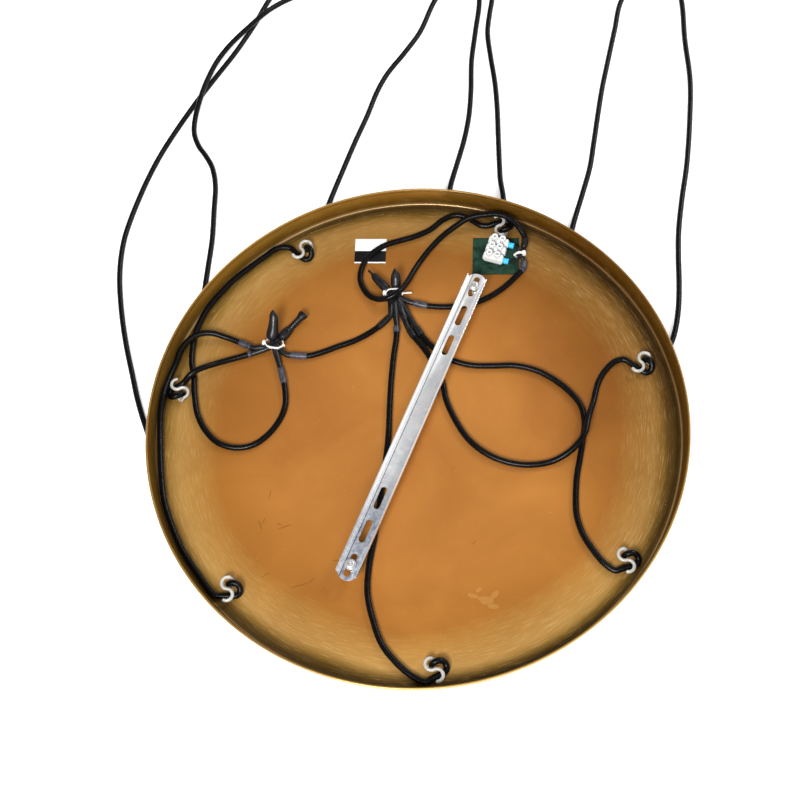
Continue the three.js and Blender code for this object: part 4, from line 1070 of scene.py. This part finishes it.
# %% White nylon
def nylon(name, light, dark, clear=0.0):
    """Moulded nylon with faint clouds; `clear` is the share of light that goes through."""
    return grained(
        name, light, 0.34, tones=(light, dark), clouds=(120, 3, 0.35, 0.75, 0.5), grain=(1200, 3),
        raised=(0.03, 0.3), rough=[(0.3, 0.3), (0.8, 0.48)], Transmission_Weight=clear,
        Subsurface_Weight=0.06, Subsurface_Scale=0.001, Subsurface_Radius=(1.0, 0.9, 0.8),
    )


NYLON_FINISH = nylon("white_nylon", screen(220, 220, 216), screen(196, 196, 190))
CLEAR_NYLON = nylon("clear_nylon", screen(196, 194, 188), screen(150, 148, 142), 0.3)
print("finishes", NYLON_FINISH.name, CLEAR_NYLON.name)

# %% Grips
# Per grip: hole, heading from the first bowl to the second, hand, height of the low strand's middle.
GRIPS = {
    "a": (1, 38, 1, 3.3), "b": (2, 294, 1, 4.0), "c": (3, 80, 1, 3.6), "d": (4, 108, 1, 3.8),
    "e": (5, 95, 1, 4.1), "f": (6, 42, 1, 3.3), "g": (0, 275, -1, 4.2),
}
BOWL = 5.4  # radius of each bowl of the S
STRAND = (2.5, 3.0)  # height and width of its strand
ON_FLOOR, OVER_LEAD = 1.5, 3.3  # height of the strand's middle on the pan; from a lead's middle to the strand


def grip_points(grip, u, v, height):
    """Points in the lamp's frame from a grip's own: v along it, u square to it, from the middle of its S."""
    at, heading, hand, _ = grip
    u, v, height = np.broadcast_arrays(np.asarray(u, float), v, height)
    flat = hole(at) + u[:, None] * direction(heading - 90 * hand) + (v - BOWL)[:, None] * direction(heading)
    return np.column_stack([flat, FLOOR + height])


def strand_section(height, width, corner=2.6, sides=16):
    """A rounded flat section: |h|^p + |w|^p = 1 with p = corner."""
    way = circle(1, sides)
    return np.sign(way) * np.abs(way) ** (2 / corner) * [height / 2, width / 2]


def grip_skin(grip):
    """The strand along its two arcs; it climbs as (1 - cos) / 2 from the floor on to the lead, and both
    tips are drawn in over a half circle."""
    path = np.vstack([arc(0, BOWL, BOWL, 8, 270, 58), arc(0, -BOWL, BOWL, 90, -112, 46)[1:]])
    climb = np.clip((np.arange(len(path)) - 4) / 14, 0, 1)
    size = np.sin(np.radians([8, 30, 55, 75]))
    over = 1.4 * np.sqrt(1 - size[:, None] ** 2)
    first = path[0] - unit(path[1] - path[0]) * over
    last = (path[-1] + unit(path[-1] - path[-2]) * over)[::-1]
    size = np.concatenate([size, np.ones(len(path)), size[::-1]])
    path = np.vstack([first, path, last])
    climb = np.concatenate([np.zeros(4), climb, np.ones(4)])
    rise = grip[3] + OVER_LEAD + STRAND[0] / 2 - ON_FLOOR
    line = grip_points(grip, *path.T, ON_FLOOR + rise * (1 - np.cos(climb * np.pi)) / 2)
    return skin(swept(line, strand_section(*STRAND), size, across=(0, 0, 1)))


for letter, grip in GRIPS.items():
    piece("grip_" + letter, grip_skin(grip), CLEAR_NYLON, ("cord_grip_" + letter,), sharp=50)
print(len(GRIPS), "grips")

# %% [markdown]
# ## The leads in the pan
#
# Inside the pan each cord goes on as a lead: it climbs out of its hole through the grip and wanders over
# the floor to its splice. Two more leads join the splices and the terminals. Their points are those of
# the imported solids: chosen from the photograph, lifted where one crosses another or the bar.

# %% Lead routes
LEADS = {
    "a": [
        (-120.3, 80), (-118.6, 67), (-118, 55), (-119.5, 40), (-126, 26), (-139, 12), (-154, 4), (-170, 4),
        (-186, 12), (-197, 27), (-203, 44), (-204.5, 65), (-204, 84), (-205, 100), (-203, 116), (-200, 129),
        (-194, 142), (-184.7, 156.9), (-170.3, 172.3), (-155.5, 185.4), (-140, 196), (-124, 206),
        (-110, 213.5), (-97.5, 211.5),
    ],
    "b": [
        (-146.5, 99.8), (-163, 97.5), (-179, 94, 5.5), (-192, 89.4, 9.6), (-200, 86.3, 11), (-206, 83.2, 10.3),
        (-210.1, 80.9, 7.4),
    ],
    "c": [
        (-146.5, 107.3), (-157, 114), (-170, 121, 5), (-184, 126, 8.5), (-199, 124.5, 10.2), (-212, 115, 8.4),
        (-220.3, 100.6), (-228.1, 82.7, 6.4), (-232.6, 68.2, 9.2), (-237.1, 49.4, 7), (-239.6, 20),
        (-240, -18), (-238.3, -42), (-232.3, -67), (-224.4, -90), (-212, -114), (-204.5, -127.5),
        (-198.6, -135.4),
    ],
    "d": [
        (-4.2, 107), (-6, 95), (-11, 76), (-17, 49), (-22, 21), (-27, -8), (-38, -53), (-51, -101),
        (-60, -130), (-64, -154), (-62, -178), (-57, -200), (-46.5, -218), (-35, -231), (-24, -238.1),
    ],
    "e": [
        (14.2, 102.8), (18.5, 93.5), (26, 80.5), (36, 68), (48, 59.5), (62, 53.5), (81, 50), (101, 47),
        (120, 39), (135, 27), (148, 11), (155, -4), (155, -21, 4), (150.5, -37, 5.4), (144, -56, 4),
        (138, -73), (133, -94), (131, -109), (133, -127), (139.5, -144), (147, -157.5), (154.8, -164.8),
    ],
    "f": [
        (7.3, 102), (10.2, 94.5), (19.5, 77), (27, 57), (31, 41), (32, 21), (38, -2), (47, -22), (62, -39),
        (80, -50), (98, -55), (118, -55, 4), (134, -50.5, 8.6), (145.5, -43, 12), (152.5, -34.5, 13),
        (158.5, -20, 11), (167, -2, 4.6), (176, 18), (186, 30), (195.5, 36.3), (203.5, 37), (207.1, 34.5),
    ],
    "g": [
        (131.4, 172.6, 5.8), (133.2, 177.5, 8), (133.2, 183.5, 10.6), (130, 191, 13.5), (123, 201, 15.6),
        (112, 208.5, 15.8), (97, 212, 13), (83, 212.5, 10.6), (69, 208, 6.4), (55, 201), (39, 187),
        (23, 168, 4.4), (11.5, 149, 10), (2.5, 137.6, 15.4), (-8.5, 133.8, 13.2), (-20, 138.5, 6.4),
        (-28.5, 148), (-33, 164, 3.6), (-28, 181, 3.8), (-19, 191, 3.8), (-4, 199, 3.8), (13, 202.5),
        (28, 205), (43, 210), (57, 219), (70, 222.5), (80, 219), (88, 212), (94, 206.5), (100.6, 204.7),
    ],
}
FEEDS = {
    "link_lead": [
        (-110.3, 92.6), (-94, 88.8), (-81, 90), (-64, 94), (-46, 98), (-30, 104.5), (-19, 111),
        (-10.6, 117.4, 4),
    ],
    "feed_lead": [
        (14.5, 130, 3.8), (29, 124.2), (48, 120), (64, 119.5), (80, 121.5), (94, 126.5), (108, 134.5, 3.5),
        (119, 142.6, 4.8), (127.4, 150.5, 4.8), (128.9, 157.6, 5),
    ],
}

# %% Leads
def lying_height(x, y):
    """Height of a lying lead's middle over the pan, with what the circle of the rise adds near the wall."""
    out = np.maximum(0, np.hypot(x, y) - FLOOR_RADIUS)
    bow = RISE - LYING
    return RISE - bow * np.sqrt(1 - (out / bow) ** 2)


def in_pan(points):
    """Points of a route as x, y and z in the lamp's frame; without a height they lie on the pan."""
    return np.array([(x, y, FLOOR + (up[0] if up else lying_height(x, y))) for x, y, *up in points])


def threading(grip):
    """Under the first bowl, half a circle up and back, a quarter circle down into the hole."""
    low, top, bend = grip[3], 8.5, 5
    climbed = np.maximum(0, (np.arange(-90, 91, 30) + 30) / 120)
    height = low + (top - low) * (1 - np.cos(climbed * np.pi)) / 2
    curl, dive = arc(BOWL + 0.6, 0, BOWL, -90, 90, 6), arc(bend, top - bend, bend, 120, 180, 2)
    return np.vstack([
        grip_points(grip, [-5, 1], -BOWL, low),
        grip_points(grip, *curl.T, height),
        grip_points(grip, dive[:, 0], BOWL, dive[:, 1]),
        grip_points(grip, [0, 0], BOWL, [1, UNDERSIDE - FLOOR]),
    ])


routes = {"lead_" + k: np.vstack([in_pan(route), threading(GRIPS[k])]) for k, route in LEADS.items()}
routes |= {name: in_pan(route) for name, route in FEEDS.items()}
lead_lines = {name: evenly(curve_through(route), 1.5) for name, route in routes.items()}
for name, line in lead_lines.items():
    piece("cable_" + name, skin(swept(line, circle(CORD, 16))), CORD_FINISH, (name,))
    print(name, round(distances(line)[-1]), "mm")

# %% [markdown]
# ## Sleeves
#
# Where a lead is stripped, a short shrunk sleeve covers the cut edge. New ones are black, worn ones have
# turned grey, which is how they stand out in the photograph. Each is a thin tube over the lead's own line,
# a little thicker in the middle than at its shrunk lips.

# %% Sleeve finishes
def shrunk_sleeve(name, light, dark):
    """Shrunk plastic, wrinkled along the lead."""
    return grained(
        name, light, 0.4, tones=(dark, light), clouds=(0.35, 0.7), grain=(260, 4, 1, 1, 3), raised=(0.08, 0.5),
        rough=[(0.3, 0.26), (0.75, 0.48)], Specular_IOR_Level=0.3,
    )


GREY_SLEEVE = shrunk_sleeve("grey_sleeve", screen(72, 73, 82), screen(34, 34, 40))
BLACK_SLEEVE = shrunk_sleeve("black_sleeve", screen(22, 22, 25), screen(6, 6, 7))
print("finishes", GREY_SLEEVE.name, BLACK_SLEEVE.name)

# %% Sleeves on the leads
def stretch_of(line, start, end):
    """The part of a line between two distances from its start; negative ones count from its end."""
    start, end = (distances(line)[-1] + d if d < 0 else d for d in (start, end))
    return read_off(line, np.linspace(start, end, max(6, int((end - start) / 0.8))))


def sleeve_skin(line, radius):
    """A tube whose radius swells from 0.93 of its full size at the lips as sin^0.4."""
    t = np.linspace(0, 1, len(line))
    size = 0.93 + 0.07 * np.clip(np.sin(t * np.pi), 0, 1) ** 0.4
    return skin(swept(line, circle(radius, 18), size))


# Per sleeve: its lead, where it starts and ends along that, and its finish.
SLEEVES = {
    "c": ("lead_c", 0.4, 13, GREY_SLEEVE), "b": ("lead_b", 0.4, 3.6, GREY_SLEEVE),
    "a": ("lead_a", 0.4, 17, GREY_SLEEVE), "link_start": ("link_lead", 0.4, 17, GREY_SLEEVE),
    "link_end": ("link_lead", -14, -0.4, BLACK_SLEEVE), "feed": ("feed_lead", 0.4, 15, GREY_SLEEVE),
    "d": ("lead_d", 0.4, 7, GREY_SLEEVE), "e": ("lead_e", 0.4, 10, BLACK_SLEEVE),
    "f": ("lead_f", 0.4, 10, BLACK_SLEEVE), "g": ("lead_g", 0.4, 9, BLACK_SLEEVE),
    "feed_end": ("feed_lead", -12, -0.4, GREY_SLEEVE),
}
for name, (lead, start, end, finish) in SLEEVES.items():
    made = sleeve_skin(stretch_of(lead_lines[lead], start, end), 3.4)
    piece("sleeve_" + name, made, finish)
print(len(SLEEVES), "sleeves")

# %% [markdown]
# ## The splices
#
# Two bundles join the leads. The thin cores of each lead come together under a white cable tie and go on
# into two joints, each closed by a black cap or shrunk sleeve. The cores are single smooth wires, so each
# is one tube from its lead through the tie and into a cap.

# %% Where the splices lie
# Per knot: its middle, its heading, half width and half height inside its tie, its caps, and its cores.
# Per pair of cores: its lead, which end of it, and where the pair passes the tie, across and out from it.
KNOTS = {
    1: {"middle": (-123.5, 106.5, 5.6), "heading": 70, "tie": (8.2, 5.6), "caps": ("1a", "1b"),
        "cores": [("lead_a", 0, 1, -3.6), ("lead_b", 0, -2.6, -4.2), ("lead_c", 0, -4.4, -3.9),
                  ("link_lead", 0, 3.6, -2.6)]},
    2: {"middle": (-2, 141.5, 5.6), "heading": 84, "tie": (7.6, 5.0), "caps": ("2a", "2b"),
        "cores": [("lead_d", 0, -0.6, -4), ("link_lead", -1, -3.6, -3.2), ("lead_e", 0, 3.2, -3),
                  ("lead_f", 0, 1.6, -3.6), ("feed_lead", 0, 4.3, -2.8)]},
}
# Per cap: where it starts at the knot and where its tip is.
CAPS = {
    "1a": ((-124.3, 113.9, 8.6), (-118, 128.9, 24.2)), "1b": ((-114.8, 112.4, 5.4), (-91.5, 133.5, 6.8)),
    "2a": ((-8.4, 148.4, 5.6), (-23.8, 170.4, 9.5)), "2b": ((1.2, 149.8, 8), (2.9, 162, 19.5)),
}
PAD_PLACE = 199.4 * direction(58.8)
print(len(KNOTS), "splices with", len(CAPS), "caps")

# %% Cores
def lead_end(name, at):
    """Where a lead ends, the direction it points in there, and the flat direction square to that."""
    line = lead_lines[name][::1 if at == 0 else -1]
    outward = unit(line[0] - line[3])
    return line[0], outward, unit([-outward[1], outward[0], 0])


def wire(points, radius, step=1.2):
    """A smooth round wire through a few points."""
    return skin(swept(evenly(curve_through(points, 8), step), circle(radius, 10)))


def knot_cores(knot, radius=1.35):
    """Two wires per lead, from inside the lead past the knot and into the caps in turn. A thin sheath
    holds each pair together for most of the way to the tie. Sines spread the wires a little."""
    middle = in_pan([knot["middle"]])[0]
    wires, sheaths = [], []
    for index, (name, at, along, out) in enumerate(knot["cores"]):
        tip, outward, square = lead_end(name, at)
        inside, clear = tip - 1.5 * outward, tip + 2.4 * outward
        target = placed(np.array([along, out, 0.0]), middle, knot["heading"] - 90)
        pair = evenly(curve_through([inside, clear, target - [0, 0, 0.6], (target + middle) / 2], 8), 1.2)
        sheaths.append(sleeve_skin(pair[:int(len(pair) * 0.86)], 2.75))
        for side in (-1, 1):
            offset = side * (radius + 0.05) * square
            base, tipped = in_pan(CAPS[knot["caps"][(index + (side > 0)) % 2]])
            way = unit(tipped - base)
            spread = unit(np.cross(way, (0, 0, 1))) * 1.5 * np.sin(index * 2.1 + side)
            lift = np.array([0, 0, 1.2 * np.cos(index * 2.4 + side)])
            wires.append(wire([
                inside + offset, clear + offset, target + 0.7 * offset + lift,
                (target + middle) / 2 + 0.4 * offset + lift + spread, base - 3 * way + spread,
                base + 2.5 * way + 0.5 * spread,
            ], radius))
    return together(*wires), together(*sheaths)


for number, knot in KNOTS.items():
    wires, sheaths = knot_cores(knot)
    piece("splice_wires_%d" % number, wires, BLACK_SLEEVE, ("splice_cores_%d" % number,))
    piece("splice_sheaths_%d" % number, sheaths, BLACK_SLEEVE)
    print("splice", number, "gathers", 2 * len(knot["cores"]), "cores")

# %% Caps and shrunk sleeves on the joints
def cap_skin(name, profile, flat=0.0, slant=0.0, ribs=0.0, sides=28):
    """A turned profile of (height, radius) pairs whose section is pressed flat towards the tip and leans
    over by `slant` mm there; `ribs` are a sine over its middle part, and faint creases run round it."""
    start, end = in_pan(CAPS[name])
    z, r = np.asarray(profile, float).T
    fine = np.linspace(z[0], z[-1], 70)
    radius = np.interp(fine, z, r)
    soft = np.convolve(np.pad(radius, 2, mode="edge"), np.ones(5) / 5, mode="valid")
    soft = soft + ribs * np.sin(fine * 2.6) * (fine > 0.3 * z[-1]) * (fine < 0.75 * z[-1])
    share = np.clip(fine / z[-1], 0, 1)[:, None]
    a = angles(sides)
    x = soft[:, None] * np.cos(a) + slant * share ** 3
    y = soft[:, None] * np.sin(a) * (1 - flat * share ** 1.3)
    crease = 1 + 0.03 * np.sin(3 * a + 5 * share) * np.sin(share * np.pi)
    rings = np.stack([x * crease, y * crease, fine[:, None] + 0 * a], axis=-1)
    return skin(aimed(rings, start, end))


CAP_SHAPES = {
    "1a": dict(profile=[(-5.6, 0.6), (-5.2, 2.8), (-4, 4.7), (-1.5, 5.9), (2, 5.9), (8, 5.0), (15, 4.5),
                        (20, 4.2), (22.5, 2.8), (25.3, 0.3)], flat=0.45, slant=2.6),
    "1b": dict(profile=[(-3, 2.4), (-2.4, 4.2), (-1, 5.0), (3, 5.1), (8, 4.8), (10, 3.4), (24, 3.3), (27, 4.4),
                        (30.6, 5.0), (31, 4.6)], flat=0.15, ribs=0.34),
    "2a": dict(profile=[(-3, 2.4), (-2.2, 4.0), (4, 4.5), (14, 4.1), (18, 3.6), (20.4, 2.2), (21.4, 1.25),
                        (26.8, 1.1)], flat=0.2),
    "2b": dict(profile=[(-4, 2.0), (-3.2, 4.2), (1, 5.1), (8, 4.8), (12, 3.6), (14.4, 2.0), (16.9, 0.3)],
               flat=0.4, slant=1.0),
}
for name, shape in CAP_SHAPES.items():
    piece("cap_" + name, cap_skin(name, **shape), BLACK_SLEEVE, ("splice_cap_" + name,))
print(len(CAP_SHAPES), "caps")

# %% Cable ties
BAND = (2.4, 1.1)  # width and thickness of a tie's band


def tie_skin(place, heading, half, head, tail, tilt=0.0):
    """A band round a flat ring of (half width, half height), its square head on side `head` (1 or -1) and
    its cut-off tail, all leaning over by `tilt` degrees towards the leads."""
    wide, thick = BAND
    w, h = half[0] - half[1], half[1] + thick / 2
    ring = np.vstack([arc(w, 0, h, -90, 90, 14), arc(-w, 0, h, 90, 270, 14)])
    line = np.column_stack([ring[:, 0], np.zeros(len(ring)), ring[:, 1]])
    line = line[np.append(np.diff(distances(line)) > 1e-6, True)]
    band = swept(line, strand_section(wide, thick, 5), across=(0, 1, 0), closed=True)
    edge = head * (half[0] + thick / 2 + 1)
    lock = rounded_block(3.4, 4.4, 4.2, 0.6) + [edge, 0, 1.6]
    slot = rounded_block(2.2, 3.0, 0.8, 0.3) + [edge, 0, 3.9]
    stub = rounded_block(tail, wide, thick, 0.3) - [head * (half[0] + thick + tail / 2 - 0.4), 0, -0.6]
    points, faces, uv = together(skin(band, closed=True), skin(lock), skin(slot), skin(stub))
    c, s = direction(tilt)
    return moved((points @ np.array([[1, 0, 0], [0, c, s], [0, -s, c]]), faces, uv), place, heading - 90)


TIES = {number: (in_pan([knot["middle"]])[0], knot["heading"], knot["tie"]) for number, knot in KNOTS.items()}
TIES[3] = (in_pan([(PAD_PLACE[0] + 22.1, PAD_PLACE[1] - 5.5, 6.3)])[0], 90, (3.4, 3.7))
for number, head, tail, tilt in ((1, -1, 2, 72), (2, -1, 9, -40), (3, 1, 1.2, 0)):
    made = tie_skin(*TIES[number], head, tail, tilt)
    piece("tie_%d" % number, made, NYLON_FINISH, ("cable_tie_%d" % number,), sharp=40)
print("ties on", len(TIES), "bundles")

# %% [markdown]
# ## The terminal block
#
# The house wiring would be clamped here: three poles of milky nylon on a pad of green foam. Each pole is a
# small block with two round towers, and down in each tower sits a slotted clamp screw. Ferrules with blue
# collars carry the feed's cores into the outer poles. The towers have real bores, so the screws are seen
# from any side.

# %% Terminals
BLOCK_PLACE, BLOCK_TURN = np.array([PAD_PLACE[0] + 0.7, PAD_PLACE[1] + 3.5, FLOOR + 1.35]), -26
POLES = (-9.3, 0.0, 9.3)  # along the block
TOWERS, TOWER = (-4, 4), 3.1  # across the block, and their radius
WIRE_LEVEL = 4.6  # of the wires' middle over the block's foot
CLAMPS = [(x, y) for y in POLES for x in TOWERS]


def tower_skin(x, y):
    """A tower with its bore: out and up the wall, over the lip, down the bore to a floor at 9.6."""
    wall = [(0, 1), (TOWER + 0.3, 1), (TOWER + 0.2, 8.8), (TOWER, 10.2)]
    lip, mouth = arc(TOWER - 0.5, 14.5, 0.5, 0, 90, 4), arc(1.95, 14.5, 0.5, 90, 180, 3)
    return skin(turned(np.vstack([wall, lip, mouth, [(1.4, 9.6), (0, 9.6)]]), 36) + [x, y, 0])


def pole_skin(y):
    """One pole: its block, two towers and the two funnels where wires enter."""
    funnel = turned([(0, 7), (3.5, 7), (3.6, 9.6), (3.4, 10), (2.6, 10.02), (2.2, 9.6), (2.1, 8.2),
                     (0, 8.2)], 32)
    return together(
        skin(rounded_block(20, 7.4, 10, 2.2) + [0, y, 5.0]), *[tower_skin(x, y) for x in TOWERS],
        *[skin(aimed(funnel, (0, y, WIRE_LEVEL), (side, y, WIRE_LEVEL))) for side in (-1, 1)],
    )


def clamp_screw(x, y):
    """A cheese-head screw down in its tower."""
    return skin(turned([(0, 9.5), (1.35, 9.5), (1.35, 11.2), (1.2, 11.5), (0, 11.5)], 24) + [x, y, 0])


def clamp_slot(x, y):
    """The cutter of its slot, each turned another way."""
    return skin(placed(rounded_block(3.4, 0.6, 1.2, 0.1, 2), (x, y, 11.6), 35 * x + 11 * y))


MILKY_NYLON = nylon("milky_nylon", screen(212, 213, 211), screen(186, 187, 186))
bridge = skin(rounded_block(12, 25, 4, 0.8) + [0, 0, 2.1])
parts = ([*map(pole_skin, POLES), bridge], [clamp_screw(*at) for at in CLAMPS],
         [clamp_slot(*at) for at in CLAMPS])
poles, screws, slots = (moved(together(*part), BLOCK_PLACE, BLOCK_TURN) for part in parts)
piece("terminal_poles", poles, MILKY_NYLON, ("terminal_block",), sharp=40)
piece("terminal_screws", carved("terminal_screws", screws, slots), ZINC_FINISH, sharp=40)
print(len(POLES), "poles with", len(CLAMPS), "clamp screws")

# %% Ferrules and the cores behind them
BLUE_FINISH = grained(
    "blue_collar", screen(30, 178, 240), 0.45, tones=(screen(24, 166, 232), screen(60, 196, 250)),
    clouds=(0.35, 0.7), grain=(500, 3), raised=(0.03, 0.3), Subsurface_Weight=0.1, Subsurface_Scale=0.001,
)
COLLAR = [(0, 7.6), (1.9, 7.6), (2.0, 9.9), (2.5, 10.5), (2.75, 11.6), (2.85, 15.2), (2.6, 15.6), (1.8, 15.6),
          (1.6, 14.6), (0, 14.6)]
for name, y in (("upper", POLES[2]), ("lower", POLES[0])):
    collar = skin(aimed(turned(COLLAR, 32), (0, 0, 0), (1, 0, 0)) + [0, y, WIRE_LEVEL])
    collar = moved(collar, BLOCK_PLACE, BLOCK_TURN)
    piece("collar_" + name, collar, BLUE_FINISH, ("ferrule_" + name,))


def feed_cores():
    """Cores from the collars through the third tie, and on to the two leads that end beside it."""
    wires, tie = [], TIES[3][0]
    for y, way in ((POLES[2], [(0, 6.6, 0), (-0.6, 3, 0), (-0.4, -4, -1)]),
                   (POLES[0], [(-5, -6.4, 0), (-0.8, -3, 0), (-0.2, 5, 1)])):
        mouth = placed(np.array([[14.4, y, WIRE_LEVEL], [17.6, y, WIRE_LEVEL]]), BLOCK_PLACE, BLOCK_TURN)
        wires.append(wire([*mouth, *(tie + way)], 1.5, 1.0))
    for name, at in (("lead_g", 0), ("feed_lead", -1)):
        tip, outward, square = lead_end(name, at)
        for aside in (1.2, -1.2):
            near = tie + 0.8 * aside * square
            beyond = [0, 4 * np.sign(outward[1]), 0.6 * aside]
            wires.append(wire([tip + aside * square - 1.5 * outward, tip + aside * square + 2.2 * outward,
                               near + [0.6, 0, 0.8 * aside], near + beyond], 1.4, 1.0))
    return together(*wires)


piece("terminal_wires", feed_cores(), BLACK_SLEEVE, ("terminal_cores",))
print("ferrules and their cores in place")

# %% [markdown]
# ## Foam pad and rating label
#
# The terminal block stands on a thin pad of dark green foam. Beside it a paper label is stuck to the pan:
# its upper part is white and its lower part black, with a thin white edge below. Both stay bare. They are
# thin blocks with soft edges, and a colour step across the label follows its own turned frame.

# %% Foam pad
def green_foam():
    """Dark green with worn clouds and fine round pores, darkened with painted shade."""
    foam = Finish("green_foam", screen(32, 64, 52), 0.8, Specular_IOR_Level=0.15)
    tone = foam.clouded(screen(8, 28, 22), screen(38, 72, 54), 110, 5, 0.35, 0.72, distortion=0.8)
    pores = foam.cells("Distance", 1500)
    # Painted shade: the pores darker where they sink in.
    tone = foam.mixed(foam.ramp(pores, [(0.1, 0.6), (0.4, 0.0)]), tone, screen(12, 26, 22))
    return foam.wear(Base_Color=tone, Normal=foam.bumped(pores, 0.2, 0.5))


pad = skin(placed(rounded_block(45.7, 41.3, 1.0, 0.3), (*PAD_PLACE, FLOOR + 0.53), -9.6))
piece("foam_pad", pad, green_foam(), ("terminal_pad",))

# %% Label
LABEL_PLACE, LABEL_TURN, LABEL_SIZE = 198.2 * direction(95.5), -9.5, (31.3, 28, 0.25)


def label_paper():
    """White above a line across the label, black below it and white again at the lowest edge."""
    paper = Finish("label_paper", screen(238, 238, 236), 0.5, Specular_IOR_Level=0.12)
    own = paper.add("VectorRotate", 0, {"Vector": paper.place, "Center": (*(LABEL_PLACE * MM), 0.0),
                                        "Axis": (0, 0, 1), "Angle": np.radians(-LABEL_TURN)})
    foot, height = (LABEL_PLACE[1] - LABEL_SIZE[1] / 2) * MM, LABEL_SIZE[1] * MM
    up = paper.times(paper.maths("SUBTRACT", paper.part(own, 1), foot), 1 / height)
    white = paper.ramp(up, [(0.0, 1.0), (0.045, 0.0), (0.5, 1.0)], ease="CONSTANT")
    fibre = paper.noise(700, 3)
    pale = paper.mixed(fibre, screen(232, 232, 230), screen(214, 214, 214))
    dark = paper.mixed(fibre, screen(8, 8, 9), screen(20, 20, 22))
    return paper.wear(Base_Color=paper.mixed(white, dark, pale), Normal=paper.bumped(fibre, 0.02, 0.3))


label = skin(placed(rounded_block(*LABEL_SIZE, 0.1, 2), (*LABEL_PLACE, FLOOR + 0.15), LABEL_TURN))
piece("bare_label", label, label_paper(), ("rating_label",))
print("label and pad in place")
